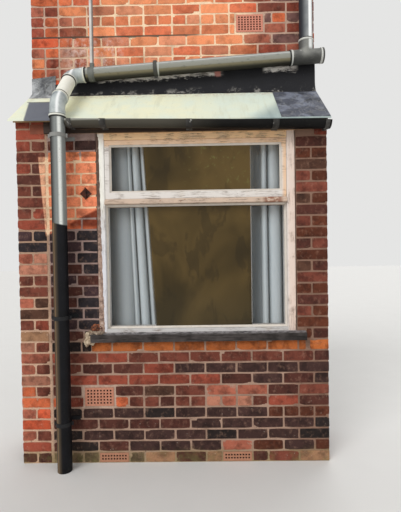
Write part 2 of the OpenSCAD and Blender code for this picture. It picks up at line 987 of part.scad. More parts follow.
// Fired clay brick with a grid of square holes, and thin clay left between them
module air_brick(x, y, z, h, columns, rows) {
    pitch_x = (air_brick_w - 2 * vent_rim) / columns;
    pitch_z = (h - 2 * vent_rim) / rows;
    difference() {
        vent_space(x, z, h, y, y + air_brick_d);
        for (i = [0 : columns - 1])
            for (j = [0 : rows - 1])
                translate([
                    x + (i - (columns - 1) / 2) * pitch_x - vent_hole / 2,
                    y - cut,
                    z + (j - (rows - 1) / 2) * pitch_z - vent_hole / 2
                ])
                    cube([vent_hole, air_brick_d + 2 * cut, vent_hole]);
    }
}

module upper_air_brick() {
    color("coral")
        air_brick(upper_vent_x, house_y, upper_vent_z, tall_air_brick_h, 8, 6);
}

module apron_air_brick() {
    color("coral")
        air_brick(apron_vent_x, front_y, apron_vent_z, tall_air_brick_h, 8, 5);
}

module low_air_bricks() {
    color("coral")
        for (x = [left_vent_x, right_vent_x])
            air_brick(x, front_y, low_vent_z, low_air_brick_h, 9, 2);
}

// Straight pipe along Z, from the origin
module tube(r, t, l) {
    difference() {
        cylinder(r = r, h = l);
        translate([0, 0, -cut])
            cylinder(r = r - t, h = l + 2 * cut);
    }
}

// Collar at the mouth of a socket along Z, which ends at z
module collar(z) {
    translate([0, 0, z - collar_l])
        cylinder(r = collar_r, h = collar_l);
}

// Outside of a socket along Z, from the origin
module socket_body() {
    cylinder(r = socket_r, h = socket_l);
    collar(socket_l);
}

// Inside of a socket along Z, from the origin
module socket_bore() {
    cylinder(r = pipe_r + pipe_fit, h = socket_l + cut);
}

// Moves its children past a bend that starts along +Z at the origin
module beyond_bend(r, angle) {
    translate([r, 0, 0])
        rotate([0, angle, 0])
            translate([-r, 0, 0])
                children();
}

// Round bar along a bend that turns towards +X, a little longer at each end
module bend_core(r, angle, bar_r) {
    beyond_bend(r, -bend_lap)
        translate([r, 0, 0])
            rotate([90, 0, 180])
                rotate_extrude(angle = angle + 2 * bend_lap)
                    translate([r, 0])
                        circle(r = bar_r);
}

// Elbow along Z at the origin, with a socket before and one after its bend
module elbow(r, angle) {
    difference() {
        union() {
            mirror([0, 0, 1])
                socket_body();
            bend_core(r, angle, pipe_r + bend_t);
            beyond_bend(r, angle)
                socket_body();
        }
        bend_core(r, angle, pipe_r - pipe_t);
        mirror([0, 0, 1])
            socket_bore();
        beyond_bend(r, angle)
            socket_bore();
    }
}

module downpipe() {
    color("dimgray")
        translate([pipe_x, pipe_y, 0])
            tube(pipe_r, pipe_t, lower_elbow_z - pipe_seat);
}

module lower_elbow() {
    color("gray")
        translate([pipe_x, pipe_y, lower_elbow_z])
            rotate([0, 0, 90])
                elbow(lower_bend_r, 45);
}

module offset_pipe() {
    color("lightgray")
        translate([pipe_x, pipe_y, bend_z])
            rotate([-45, 0, 0])
                translate([0, 0, lower_leg + pipe_seat])
                    tube(pipe_r, pipe_t, offset_length);
}

// Upper elbow, turned from the offset pipe's direction into the sloping run
module upper_elbow() {
    color("gray")
        translate([pipe_x, run_y, run_z])
            rotate([-45, 0, 0])
                rotate([0, 0, -upper_bend_turn])
                    translate([0, 0, -upper_leg])
                        elbow(upper_bend_r, upper_bend_angle);
}

// Places its children a distance s along the run, which becomes their +Z
module along_run(s) {
    translate([pipe_x, run_y, run_z])
        rotate([0, 90 - run_slope, 0])
            translate([0, 0, s])
                children();
}

module soil_run() {
    color("dimgray")
        along_run(run_start)
            tube(pipe_r, pipe_t, run_end - run_start);
}

// Tee with a socket at each end of the run and one that takes the stack
module stack_tee() {
    mouth = tee_half + socket_l;
    color("gray")
        difference() {
            union() {
                along_run(run_length - mouth)
                    cylinder(r = socket_r, h = 2 * mouth);
                along_run(run_length) {
                    collar(mouth);
                    mirror([0, 0, 1])
                        collar(mouth);
                }
                translate([stack_x, run_y, stack_z]) {
                    cylinder(r = socket_r, h = tee_rise + socket_l);
                    collar(tee_rise + socket_l);
                }
            }
            along_run(run_length - tee_half - cut)
                cylinder(r = pipe_r - pipe_t, h = 2 * tee_half + 2 * cut);
            along_run(run_length + tee_half)
                socket_bore();
            along_run(run_length - tee_half)
                mirror([0, 0, 1])
                    socket_bore();
            translate([stack_x, run_y, stack_z]) {
                cylinder(r = pipe_r - pipe_t, h = tee_rise + cut);
                translate([0, 0, tee_rise])
                    socket_bore();
            }
        }
}

module soil_stack() {
    z0 = stack_z + tee_rise + pipe_seat;
    color("dimgray")
        translate([stack_x, run_y, z0])
            tube(pipe_r, pipe_t, top_z - z0);
}

// Cap that closes the tee's far end, with a six-sided grip
module rodding_cap() {
    plug_l = socket_l - pipe_seat;
    color("dimgray")
        along_run(run_length + tee_half + pipe_seat) {
            cylinder(r = pipe_r, h = plug_l);
            translate([0, 0, plug_l])
                cylinder(r = collar_r, h = cap_flange_h);
            translate([0, 0, plug_l + cap_flange_h])
                cylinder(d = cap_grip_w, h = cap_grip_h, $fn = 6);
        }
}

// Bracket round a pipe along Z at the origin, with its plate on a wall at +Y
// and ears that reach along -X and +X
module pipe_bracket(stand_off, left_ear, right_ear) {
    ring_r = pipe_r + pipe_fit + bracket_ring_t;
    half_w = bracket_w / 2;
    half_web = bracket_web_w / 2;
    half_lug = bracket_lug_t / 2;
    lug_end = ring_r + bracket_lug_l;
    difference() {
        union() {
            translate([0, 0, -half_w])
                cylinder(r = ring_r, h = bracket_w);
            box([-half_web, 0, -half_w], [half_web, stand_off, half_w]);
            box([-left_ear, stand_off - bracket_plate_t, -half_w], [right_ear, stand_off, half_w]);
            box([-lug_end, -half_lug, -half_w], [lug_end, half_lug, half_w]);
        }
        translate([0, 0, -half_w - cut])
            cylinder(r = pipe_r + pipe_fit, h = bracket_w + 2 * cut);
    }
}

module pipe_brackets() {
    color("gray") {
        for (z = [low_bracket_z, middle_bracket_z, head_z - top_bracket_drop])
            translate([pipe_x, pipe_y, z])
                pipe_bracket(pipe_stand_off, long_ear, long_ear);
        along_run(run_bracket_place)
            pipe_bracket(run_stand_off, long_ear, short_ear);
    }
}

// Strap round the run, with a boss on top that takes the waste pipe
module strap_boss() {
    color("gray")
        difference() {
            union() {
                along_run(waste_at - strap_w / 2)
                    cylinder(r = pipe_r + pipe_fit + strap_t, h = strap_w);
                translate([waste_x, run_y, waste_z])
                    cylinder(r = waste_r + pipe_fit + strap_t, h = pipe_r + boss_rise + boss_depth);
            }
            along_run(waste_at - strap_w)
                cylinder(r = pipe_r + pipe_fit, h = 2 * strap_w);
            translate([waste_x, run_y, waste_foot_z])
                cylinder(r = waste_r + pipe_fit, h = boss_depth + cut);
        }
}

module waste_pipe() {
    color("white")
        translate([waste_x, run_y, waste_foot_z])
            tube(waste_r, waste_t, top_z - waste_foot_z);
}

// Old iron hook: a diamond plate with an upright bar across it
module wall_hook() {
    x = opening_x0 - hook_from_window;
    z = head_z - hook_drop;
    s = hook_size / 2;
    color("saddlebrown") {
        along_y(front_y - hook_plate_t, front_y)
            polygon([[x - s, z], [x, z - s], [x + s, z], [x, z + s]]);
        box(
            [x - hook_bar_w / 2, front_y - hook_plate_t - hook_bar_t, z - s],
            [x + hook_bar_w / 2, front_y - hook_plate_t, z + s]
        );
    }
}

// Curtain rail between the reveals, in a socket at each end
module curtain_rail() {
    color("white")
        translate([reveal_x0, rail_y, rail_z])
            rotate([0, 90, 0]) {
                length = reveal_x1 - reveal_x0;
                cylinder(r = rail_r, h = length);
                for (z = [0, length - rail_socket_d])
                    translate([0, 0, z])
                        cylinder(r = rail_socket_r, h = rail_socket_d);
            }
}

// Hanging curtain from x0 to x1
module curtain(x0, x1) {
    color("lightsteelblue")
        box(
            [x0, rail_y - curtain_t / 2, curtain_foot],
            [x1, rail_y + curtain_t / 2, curtain_top]
        );
}

module left_curtain() {
    curtain(reveal_x0 + curtain_gap, reveal_x0 + left_curtain_w);
}

module right_curtain() {
    curtain(reveal_x1 - right_curtain_w, reveal_x1 - curtain_gap);
}

front_wall();
left_side_wall();
right_side_wall();
upper_wall();
house_beam();
window_lintel();
rafters();
roof_boards();
roof_sheet();
fascia_board();
roof_flashing();
lead_corner();
lead_patch();
gutter();
gutter_brackets();
floor_joists();
floor_boards();
bay_ceiling();
front_plaster();
side_plaster();
frame_jambs();
frame_head();
frame_transom();
frame_bottom_rail();
top_sash();
window_glass();
putty_beads();
window_sill();
window_board();
upper_air_brick();
apron_air_brick();
low_air_bricks();
downpipe();
lower_elbow();
offset_pipe();
upper_elbow();
soil_run();
stack_tee();
soil_stack();
rodding_cap();
pipe_brackets();
strap_boss();
waste_pipe();
wall_hook();
curtain_rail();
left_curtain();
right_curtain();
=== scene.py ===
import json
import math
import random

import bpy
import numpy as np
from mathutils import Matrix, Vector, noise

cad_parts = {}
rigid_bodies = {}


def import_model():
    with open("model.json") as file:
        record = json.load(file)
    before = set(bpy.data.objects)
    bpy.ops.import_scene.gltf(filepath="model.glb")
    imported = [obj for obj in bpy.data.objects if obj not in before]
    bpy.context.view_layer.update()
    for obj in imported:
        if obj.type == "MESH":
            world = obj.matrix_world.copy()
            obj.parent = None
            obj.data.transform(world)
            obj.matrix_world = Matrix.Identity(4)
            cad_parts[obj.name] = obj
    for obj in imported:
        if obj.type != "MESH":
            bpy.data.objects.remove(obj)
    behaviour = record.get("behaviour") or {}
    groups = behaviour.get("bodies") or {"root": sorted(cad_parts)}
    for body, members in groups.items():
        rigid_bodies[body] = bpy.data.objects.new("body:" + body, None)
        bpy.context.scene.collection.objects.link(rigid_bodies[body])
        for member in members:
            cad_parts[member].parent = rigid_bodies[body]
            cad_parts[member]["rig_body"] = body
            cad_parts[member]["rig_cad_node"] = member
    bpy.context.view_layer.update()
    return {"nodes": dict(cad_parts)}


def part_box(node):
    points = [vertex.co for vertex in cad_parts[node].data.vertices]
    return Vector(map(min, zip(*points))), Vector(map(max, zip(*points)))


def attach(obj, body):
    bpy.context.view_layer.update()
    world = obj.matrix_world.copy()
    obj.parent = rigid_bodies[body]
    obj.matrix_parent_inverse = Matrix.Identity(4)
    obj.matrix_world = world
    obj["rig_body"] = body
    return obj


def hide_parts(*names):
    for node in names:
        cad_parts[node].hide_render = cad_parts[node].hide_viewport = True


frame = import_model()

nodes = frame["nodes"]
bpy.ops.object.select_all(action="DESELECT")
print("frame loaded")

# Camera, at the photograph's viewing angle
view = {
    "place": (0.253, -3.205, 1.689), "yaw": -0.64, "pitch": -1.11, "roll": -0.88,
    "focalPixels": 395, "longSidePixels": 512, "sensor": 36,
}


def makeCamera():
    yaw, pitch, roll = (math.radians(view[k]) for k in ("yaw", "pitch", "roll"))
    ahead = Vector((math.sin(yaw) * math.cos(pitch), math.cos(yaw) * math.cos(pitch), math.sin(pitch)))
    level = Vector((math.cos(yaw), -math.sin(yaw), 0))
    side = math.cos(roll) * level + math.sin(roll) * level.cross(ahead)
    turn = Matrix((side, side.cross(ahead), -ahead)).transposed()
    bpy.ops.object.camera_add(location=view["place"], rotation=turn.to_euler())
    camera = bpy.context.object
    camera.data.sensor_width = view["sensor"]
    camera.data.lens = view["focalPixels"] / view["longSidePixels"] * view["sensor"]
    bpy.context.scene.camera = camera


makeCamera()


# Colours are written as seen on a screen, from 0 to 255
def tint(red, green, blue):
    shares = [c / 255 for c in (red, green, blue)]
    linear = [s / 12.92 if s <= 0.04045 else ((s + 0.055) / 1.055) ** 2.4 for s in shares]
    return (*linear, 1)


class Field:  # a value or colour that varies over a surface
    def __init__(self, tree, socket=None):
        self.tree = tree
        self.socket = socket

    def node(self, kind, settings=None, inputs=None, output=0):
        made = self.tree.nodes.new("ShaderNode" + kind)
        for name, value in (settings or {}).items():
            setattr(made, name, value)
        for name, value in (inputs or {}).items():
            if isinstance(value, Field):
                self.tree.links.new(value.socket, made.inputs[name])
            else:
                made.inputs[name].default_value = value
        return Field(self.tree, made.outputs[output])

    def math(self, operation, first, second=0):
        return self.node("Math", {"operation": operation}, {0: first, 1: second})

    def __add__(self, other):
        return self.math("ADD", self, other)

    def __sub__(self, other):
        return self.math("SUBTRACT", self, other)

    def __rsub__(self, other):
        return self.math("SUBTRACT", other, self)

    def __mul__(self, other):
        return self.math("MULTIPLY", self, other)

    def __truediv__(self, other):
        return self.math("DIVIDE", self, other)

    def __abs__(self):
        return self.math("ABSOLUTE", self)

    __radd__ = __add__
    __rmul__ = __mul__

    def most(self, other):
        return self.math("MAXIMUM", self, other)

    def rise(self, low, high):  # 0 up to low, 1 from high, smooth between
        ends = {"Value": self, "From Min": low, "From Max": high}
        return self.node("MapRange", {"interpolation_type": "SMOOTHSTEP"}, ends)

    def above(self, level, soft):
        return self.rise(level - soft, level + soft)

    def band(self, low, high, soft):
        return self.above(low, soft) * (1 - self.above(high, soft))

    def pick(self, none, full, mode="MIX"):  # mixes two colours by this value
        none, full = (tint(*c) if isinstance(c, tuple) else c for c in (none, full))
        return self.node("Mix", {"data_type": "RGBA", "blend_type": mode}, {0: self, 6: none, 7: full}, 2)

    def parts(self):
        return [self.node("SeparateXYZ", None, {0: self}, i) for i in range(3)]

    def stretched(self, x, y, z):
        return self.node("Mapping", None, {"Vector": self, "Scale": (x, y, z)})

    def noise(self, scale, detail=4, roughness=0.55, distortion=0):
        values = {"Vector": self, "Scale": scale, "Detail": detail}
        return self.node("TexNoise", None, values | {"Roughness": roughness, "Distortion": distortion})

    def cells(self, scale):
        return self.node("TexVoronoi", None, {"Vector": self, "Scale": scale})

    def attribute(self, name, output):
        return self.node("Attribute", {"attribute_name": name}, None, output)


def coats(colour, *layers):  # lays each colour over those before it, through its own mask
    for mask, shade, *mode in layers:
        colour = mask.pick(colour, shade, *mode)
    return colour


def makeMaterial(name, paint, bump=0.3, depth=0.002, **fixed):
    material = bpy.data.materials.new(name)
    material.use_nodes = True
    tree = material.node_tree
    tree.nodes.clear()
    shader = tree.nodes.new("ShaderNodeBsdfPrincipled")
    for key, value in fixed.items():
        shader.inputs[key.replace("_", " ")].default_value = value
    point = Field(tree).node("TexCoord", output="Object")
    for key, value in paint(point).items():
        if key == "height":
            bumped = {"Strength": bump, "Distance": depth, "Height": value}
            tree.links.new(point.node("Bump", None, bumped).socket, shader.inputs["Normal"])
        elif isinstance(value, Field):
            tree.links.new(value.socket, shader.inputs[key])
        else:
            shader.inputs[key].default_value = value
    out = tree.nodes.new("ShaderNodeOutputMaterial")
    tree.links.new(shader.outputs[0], out.inputs[0])
    return material


def dress(names, material):  # gives CAD nodes a finish
    for name in names.split():
        mesh = nodes[name].data
        mesh.materials.clear()
        mesh.materials.append(material)


def pickOut(piece):  # makes it the one selected and active object
    bpy.ops.object.select_all(action="DESELECT")
    piece.select_set(True)
    bpy.context.view_layer.objects.active = piece


def editAll(piece):  # opens it in edit mode with everything selected
    pickOut(piece)
    bpy.ops.object.mode_set(mode="EDIT")
    bpy.ops.mesh.select_all(action="SELECT")


def thicken(piece, thickness, offset):
    pickOut(piece)
    thick = piece.modifiers.new("thickness", "SOLIDIFY")
    thick.thickness = thickness
    thick.offset = offset
    bpy.ops.object.modifier_apply(modifier=thick.name)


def addPiece(piece, name, material, replaced=(), smooth=None):
    piece.name = name
    piece.data.name = name
    pickOut(piece)
    bpy.ops.object.transform_apply(location=True, rotation=True, scale=True)
    if smooth:
        bpy.ops.object.shade_smooth_by_angle(angle=math.radians(smooth))
    piece.data.materials.clear()
    piece.data.materials.append(material)
    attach(piece, "root")
    if replaced:
        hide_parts(*replaced)
    piece.select_set(False)
    return piece


def meshPiece(name, points, faces):
    mesh = bpy.data.meshes.new(name)
    mesh.from_pydata([tuple(p) for p in points], [], faces)
    piece = bpy.data.objects.new(name, mesh)
    bpy.context.scene.collection.objects.link(piece)
    return piece


def gridPiece(columns, rows):  # a flat sheet, with each point's shares across and up it
    bpy.ops.mesh.primitive_grid_add(x_subdivisions=columns, y_subdivisions=rows, size=2)
    piece = bpy.context.object
    return piece, [(v, (v.co.x + 1) / 2, (v.co.y + 1) / 2) for v in piece.data.vertices]


# Floor, world and lamps
stage = {
    "floorSize": 60, "floor": (222, 221, 218), "floorWorn": (217, 216, 213), "floorRoughness": 0.8,
    "backdrop": (229, 229, 228), "lightLevel": 0.6, "lampDistance": 8,
    "lamps": {  # where each shines from, how soft it is in degrees, and how strong
        "key": ((-0.50, -0.72, 0.58), 32, 1.55), "fill": ((0.72, -0.62, 0.36), 60, 0.4),
        "rear": ((0.35, 0.80, 0.50), 50, 0.9),
    },
}


def makeStage():
    bpy.ops.mesh.primitive_plane_add(size=stage["floorSize"], location=(0, 0, 0))
    floor = bpy.context.object
    floor.name = "floor"

    def paint(point):
        grain = point.noise(3, 3)
        return {"Base Color": grain.pick(stage["floor"], stage["floorWorn"]),
                "Roughness": stage["floorRoughness"]}

    floor.data.materials.append(makeMaterial("floorPaint", paint))

    for name, (place, softness, strength) in stage["lamps"].items():
        turn = Vector(place).to_track_quat("Z", "Y").to_euler()
        bpy.ops.object.light_add(type="SUN", location=Vector(place) * stage["lampDistance"], rotation=turn)
        lamp = bpy.context.object
        lamp.name = name
        lamp.data.angle = math.radians(softness)
        lamp.data.energy = strength

    world = bpy.data.worlds.new("world")
    bpy.context.scene.world = world
    world.use_nodes = True
    tree = world.node_tree
    tree.nodes.clear()
    rays = [Field(tree).node("LightPath", output=o) for o in
            ("Is Camera Ray", "Is Glossy Ray", "Is Transmission Ray")]
    seen = rays[0].most(rays[1]).most(rays[2])
    lit = seen.node("Background", None, {"Color": (1, 1, 1, 1), "Strength": stage["lightLevel"]})
    pale = seen.node("Background", None, {"Color": tint(*stage["backdrop"]), "Strength": 1})
    both = seen.node("MixShader", None, {0: seen, 1: lit, 2: pale})
    out = tree.nodes.new("ShaderNodeOutputWorld")
    tree.links.new(both.socket, out.inputs[0])
    bpy.context.scene.view_settings.view_transform = "Standard"


makeStage()
print("camera and stage made")

# Places that several pieces share, from the frame
bayLow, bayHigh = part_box("front_wall")
houseLow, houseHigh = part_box("upper_wall")
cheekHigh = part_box("left_side_wall")[1]
sillLow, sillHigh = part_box("window_sill")
jambLow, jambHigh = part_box("frame_jambs")
roofLow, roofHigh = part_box("roof_sheet")
pipeLow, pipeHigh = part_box("downpipe")
runLow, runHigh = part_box("soil_run")
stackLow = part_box("soil_stack")[0]
pipeRadius = (pipeHigh.x - pipeLow.x) / 2
runRise = (runHigh.z - runLow.z - 2 * pipeRadius) / (runHigh.x - runLow.x)
course = sillLow.z / 11  # the sill lies on eleven courses
roofPitch = math.radians(41)

# Brickwork of the bay and of the house wall above it
wall = {
    "joint": 0.0095, "quoinJoint": 0.020, "jambGap": 0.006, "sillGap": 0.006, "beamGap": 0.004,
    "airBrickGap": 0.0133, "recess": 0.005, "depth": 0.102, "smallest": 0.022, "thinnest": 0.0176,
    "seed": 7, "uneven": (0.003, 0.002, 0.002), "nearCuts": (0.1, 0.34), "farCuts": (0.66, 0.9),
    "worn": 0.0015, "wornShares": (0.3, 1.4), "knocks": (0.1, 2.2), "chipShare": 0.12, "chip": 0.009,
    "chipShares": (0.4, 1), "shades": (0.8, 1.2), "smears": (0.3, 1.7), "smooth": 50, "hidden": 0.05,
}
halfBrick = (bayHigh.x - bayLow.x + wall["joint"]) / 20  # twenty half bricks make the front
quoin = bayLow.x + 2 * halfBrick - wall["joint"] / 2  # middle of the straight joint at the left corner

bond = {  # half bricks in each brick, from the left; a number is that course of the front
    "even": [1, 1] + [2] * 9, "odd": [2, 1] + [2] * 8 + [1], "headers": [1], "side": [2, 2],
    "leftPier": ([1, 1, 1.8, 1.45], [2, 2.19, 1.06]), "rightPier": ([3], [1.01, 2]),
    4: [1, 1] + [2] * 7 + [1] * 4, 5: [2, 1, 2] + [1] * 11 + [2, 2], 10: [1, 1] + [2] * 8 + [0.7, 1.3],
    "houseHeaders": (3, 7),  # courses of headers, counted down from the top of the house wall
}
tones = {
    "orange": (172, 94, 46), "bright": (202, 102, 64), "salmon": (232, 138, 92), "red": (146, 70, 52),
    "brick": (118, 62, 48), "maroon": (86, 47, 38), "plum": (64, 42, 38), "black": (39, 30, 28),
    "tan": (166, 124, 92), "pink": (184, 122, 98), "brown": (84, 55, 42), "moss": (112, 94, 68),
    "purple": (122, 86, 80), "cherry": (212, 94, 60), "umber": (90, 46, 29), "peach": (224, 142, 108),
    "rose": (176, 100, 78), "slate": (42, 36, 39), "grape": (66, 46, 48),
}

# Mixes of bricks: right edge, first course and the one after the last, tones, mortar on faces and on edges
frontMixes = [
    (quoin, 21, 99, "red brick red brick maroon maroon red", 0.06, 0.1),
    # quoin courses below the painted sunlight: dark tones for painted shade
    (quoin, 19, 21, "slate grape slate", 0.03, 0.1),
    (quoin, 10, 19, "brick rose brown red rose tan brick pink", 0.1, 0.13),
    (quoin, 2, 10, "bright rose pink bright red brick rose cherry", 0.1, 0.13),
    (quoin, 0, 2, "brick maroon red", 0.1, 0.13),
    # left pier: the dark top under the gutter and the slate and grape courses are painted shade, the salmon
    # courses painted sunlight
    (-0.5, 28, 99, "maroon black brick plum", 0.02, 0.08),
    (-0.5, 21, 28, "salmon bright salmon", 0.05, 0.1),
    (-0.5, 11, 21, "slate grape slate maroon grape", 0.0, 0.06),
    (9, 11, 99, "umber maroon umber brick brown umber", 0.02, 0.08),
    (-0.66, 10, 11, "plum maroon black", 0.04, 0.1),
    (9, 10, 11, "orange", 0.05, 0.08),
    (-0.1, 9, 10, "red brick red brick rose", 0.08, 0.11),
    (9, 9, 10, "brick maroon brick", 0.06, 0.11),
    (0.05, 8, 9, "maroon brick red brick", 0.08, 0.11),
    (9, 8, 9, "plum maroon plum", 0.04, 0.11),
    (0.5, 7, 8, "brick red maroon red", 0.08, 0.11),
    (9, 7, 8, "maroon plum", 0.05, 0.11),
    (0.3, 6, 7, "maroon brick brown", 0.08, 0.11),
    (0.62, 6, 7, "rose", 0.14, 0.14),
    (9, 6, 7, "brick maroon", 0.08, 0.11),
    (0.3, 5, 6, "red brick bright red maroon brick", 0.08, 0.12),
    (0.62, 5, 6, "rose pink", 0.14, 0.14),
    (9, 5, 6, "brick maroon red brick", 0.08, 0.11),
    (0.3, 4, 5, "plum black maroon", 0.04, 0.1),
    (9, 4, 5, "maroon umber plum", 0.06, 0.1),
    (0.2, 3, 4, "black maroon plum", 0.04, 0.1),
    (9, 3, 4, "black plum umber black", 0.06, 0.1),
    (9, 2, 3, "plum maroon black plum", 0.06, 0.11),
    (0.4, 1, 2, "black maroon brown plum", 0.08, 0.12),
    (0.66, 1, 2, "rose", 0.14, 0.14),
    (9, 1, 2, "plum black umber", 0.08, 0.12),
    (9, 0, 1, "moss tan brown maroon brick", 0.12, 0.16),
]
houseMixes = [
    # house wall: the bright salmon middle is partly painted sunlight, the darker mix at the right partly
    # painted shade
    (-0.7, 0, 99, "bright cherry rose pink bright red salmon", 0.06, 0.1),
    (0.62, 0, 99, "bright salmon cherry salmon peach cherry salmon rose", 0.05, 0.1),
    (9, 0, 99, "red rose bright brick pink purple red", 0.08, 0.12),
]
plainMix = ("red brick maroon brick rose purple red plum".split(), 0.06, 0.11)


def mixAt(mixes, x, row):
    for edge, first, end, names, face, rim in mixes:
        if x < edge and first <= row < end:
            return names.split(), face, rim


# Splits (x0, x1, z0, z1) rectangles round a hole
def without(boxes, hole):
    kept = []
    for x0, x1, z0, z1 in boxes:
        if hole[0] >= x1 or hole[1] <= x0 or hole[2] >= z1 or hole[3] <= z0:
            kept.append((x0, x1, z0, z1))
            continue
        kept.append((x0, min(x1, hole[0]), z0, z1))
        kept.append((max(x0, hole[1]), x1, z0, z1))
        middle = (max(x0, hole[0]), min(x1, hole[1]))
        kept.append((*middle, z0, min(z1, hole[2])))
        kept.append((*middle, max(z0, hole[3]), z1))
    return [b for b in kept if b[1] - b[0] > wall["smallest"] and b[3] - b[2] > wall["thinnest"]]


def brickTemplate():  # a cube cut in three each way, its points counted from 0 to 3
    bpy.ops.mesh.primitive_cube_add(size=3)
    cube = bpy.context.object
    editAll(cube)
    bpy.ops.mesh.subdivide(number_cuts=2)
    bpy.ops.object.mode_set(mode="OBJECT")
    points = np.rint([[c + 1.5 for c in v.co] for v in cube.data.vertices]).astype(int)
    faces = [list(f.vertices) for f in cube.data.polygons]
    bpy.data.objects.remove(cube)
    return points, faces


lattice, brickFaces = brickTemplate()
outward = np.where(lattice == 0, -1, np.where(lattice == 3, 1, 0))
rims = np.abs(outward).sum(axis=1) - 1  # 0 on a face, 1 on an edge, 2 at a corner
spread = np.random.default_rng(wall["seed"])
draw = random.Random(wall["seed"])


class Pile:  # bricks that are gathered before one mesh is made of them
    def __init__(self):
        self.points, self.tones = [], []

    def add(self, low, high, mix):
        names, face, rim = mix
        low = np.array(low) + spread.uniform(0, 1, 3) * wall["uneven"]
        high = np.array(high) - spread.uniform(0, 1, 3) * wall["uneven"]
        near, far = (spread.uniform(*wall[k], 3) for k in ("nearCuts", "farCuts"))
        cuts = np.array([np.zeros(3), near, far, np.ones(3)])
        points = low + (high - low) * cuts[lattice, np.arange(3)]
        wear = rims * wall["worn"] * spread.uniform(*wall["wornShares"], rims.shape)
        knockShare, knock = wall["knocks"]
        wear *= np.where(spread.random(rims.shape) < knockShare, knock, 1)
        if spread.random() < wall["chipShare"]:
            chipped = np.all(outward == spread.choice([-1, 1], 3), axis=1)
            wear[chipped] += spread.uniform(*wall["chipShares"]) * wall["chip"]
        self.points.append(points - outward * wear[:, None])
        shade = spread.uniform(*wall["shades"])
        colour = [c * shade for c in tint(*tones[draw.choice(names)])[:3]]
        smear = face * draw.uniform(*wall["smears"])
        self.tones += [[*colour, smear + (rim if r else 0)] for r in rims]

    def build(self, name, slot, material):
        count = len(lattice)
        faces = [[v + i * count for v in f] for i in range(len(self.points)) for f in brickFaces]
        piece = meshPiece(name, np.concatenate(self.points), faces)
        layer = piece.data.attributes.new("brickTone", "FLOAT_COLOR", "POINT")
        layer.data.foreach_set("color", np.array(self.tones, np.float32).ravel())
        return addPiece(piece, name, material, smooth=wall["smooth"])


def isHeader(start, end):
    return end - start < 1.2 * halfBrick


def layCourse(start, end, pattern):  # (x0, x1) of each brick, laid to the pattern's half bricks
    laid, at, i = [], start, 0
    while at < end - wall["smallest"]:
        step = pattern[min(i, len(pattern) - 1)] * halfBrick
        laid.append((at, min(at + step - wall["joint"], end)))
        at += step
        i += 1
    return laid


def frontCourse(row):
    if row * course > sillLow.z - course / 2:  # beside the window
        spans = layCourse(bayLow.x, jambLow.x - wall["jambGap"], bond["leftPier"][row % 2])
        return spans + layCourse(jambHigh.x + wall["jambGap"], bayHigh.x, bond["rightPier"][row % 2])
    return layCourse(bayLow.x, bayHigh.x, bond.get(row, bond["odd" if row % 2 else "even"]))


def holeOf(node, margin):
    low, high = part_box(node)
    return (low.x - margin, high.x + margin, low.z - margin, high.z + margin)


def frontHoles():
    joint, gap, half = wall["joint"], wall["jambGap"], wall["quoinJoint"] / 2
    holes = [holeOf("window_sill", wall["sillGap"]), holeOf("apron_air_brick", wall["airBrickGap"])]
    holes.append((jambLow.x - gap, jambHigh.x + gap, jambLow.z, jambHigh.z))
    holes.append((quoin - half, quoin + half, 0, bayHigh.z))
    low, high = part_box("low_air_bricks")
    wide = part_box("apron_air_brick")[1].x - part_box("apron_air_brick")[0].x
    for x in (low.x, high.x - wide):
        holes.append((x - joint, x + wide + joint, low.z - joint, high.z + joint))
    return holes


def layFront(piles, holes, row, spans, low, high):
    depth, joint = wall["depth"], wall["joint"]
    for index, (start, end) in enumerate(spans):
        if high > bayHigh.z and end > quoin:
            continue
        atCorner = index in (0, len(spans) - 1)
        deep = 2 * depth + joint if atCorner and isHeader(start, end) else depth
        boxes = [(start, end, low, high)]
        for hole in holes:
            boxes = without(boxes, hole)
        side = "left" if end < quoin + joint else "right" if start > jambHigh.x else "front"
        for x0, x1, z0, z1 in boxes:
            mix = mixAt(frontMixes, (x0 + x1) / 2, row)
            piles[side].add((x0, bayLow.y, z0), (x1, bayLow.y + deep, z1), mix)


def laySide(pile, outer, sign, corner, low, high):  # from behind its corner brick to the house wall
    step, depth = wall["depth"] + wall["joint"], wall["depth"]
    start = bayLow.y + (2 * step if isHeader(*corner) else step)
    reaches = [(bayLow.y, houseHigh.y, low, high)]
    if high > bayHigh.z:
        start = start if sign > 0 else bayLow.y
        reaches = [(bayLow.y, houseLow.y, low, high), (houseLow.y, houseHigh.y, low, min(high, houseLow.z))]
    leaf = sorted((outer, outer + sign * depth))
    for near, far in layCourse(start, houseHigh.y, bond["side"]):
        for nearest, farthest, z0, z1 in reaches:
            y0, y1 = max(near, nearest), min(far, farthest)
            if y1 - y0 > wall["smallest"] and z1 - z0 > wall["smallest"]:
                pile.add((leaf[0], y0, z0), (leaf[1], y1, z1), plainMix)
    if high < houseLow.z + course / 2:  # inner leaf, seen from behind
        leaf = sorted((outer + sign * step, outer + sign * 2 * step))
        top = min(high, houseLow.z)
        pile.add((leaf[0], houseHigh.y - depth, low), (leaf[1], houseHigh.y, top), plainMix)


def layBay():
    piles = {"front": Pile(), "left": Pile(), "right": Pile()}
    holes = frontHoles()
    for row in range(math.ceil(cheekHigh.z / course)):
        low, high = row * course + wall["joint"] / 2, (row + 1) * course - wall["joint"] / 2
        spans = frontCourse(row)
        layFront(piles, holes, row, spans, low, high)
        laySide(piles["left"], bayLow.x, 1, spans[0], low, high)
        laySide(piles["right"], bayHigh.x, -1, spans[-1], low, high)
    return piles


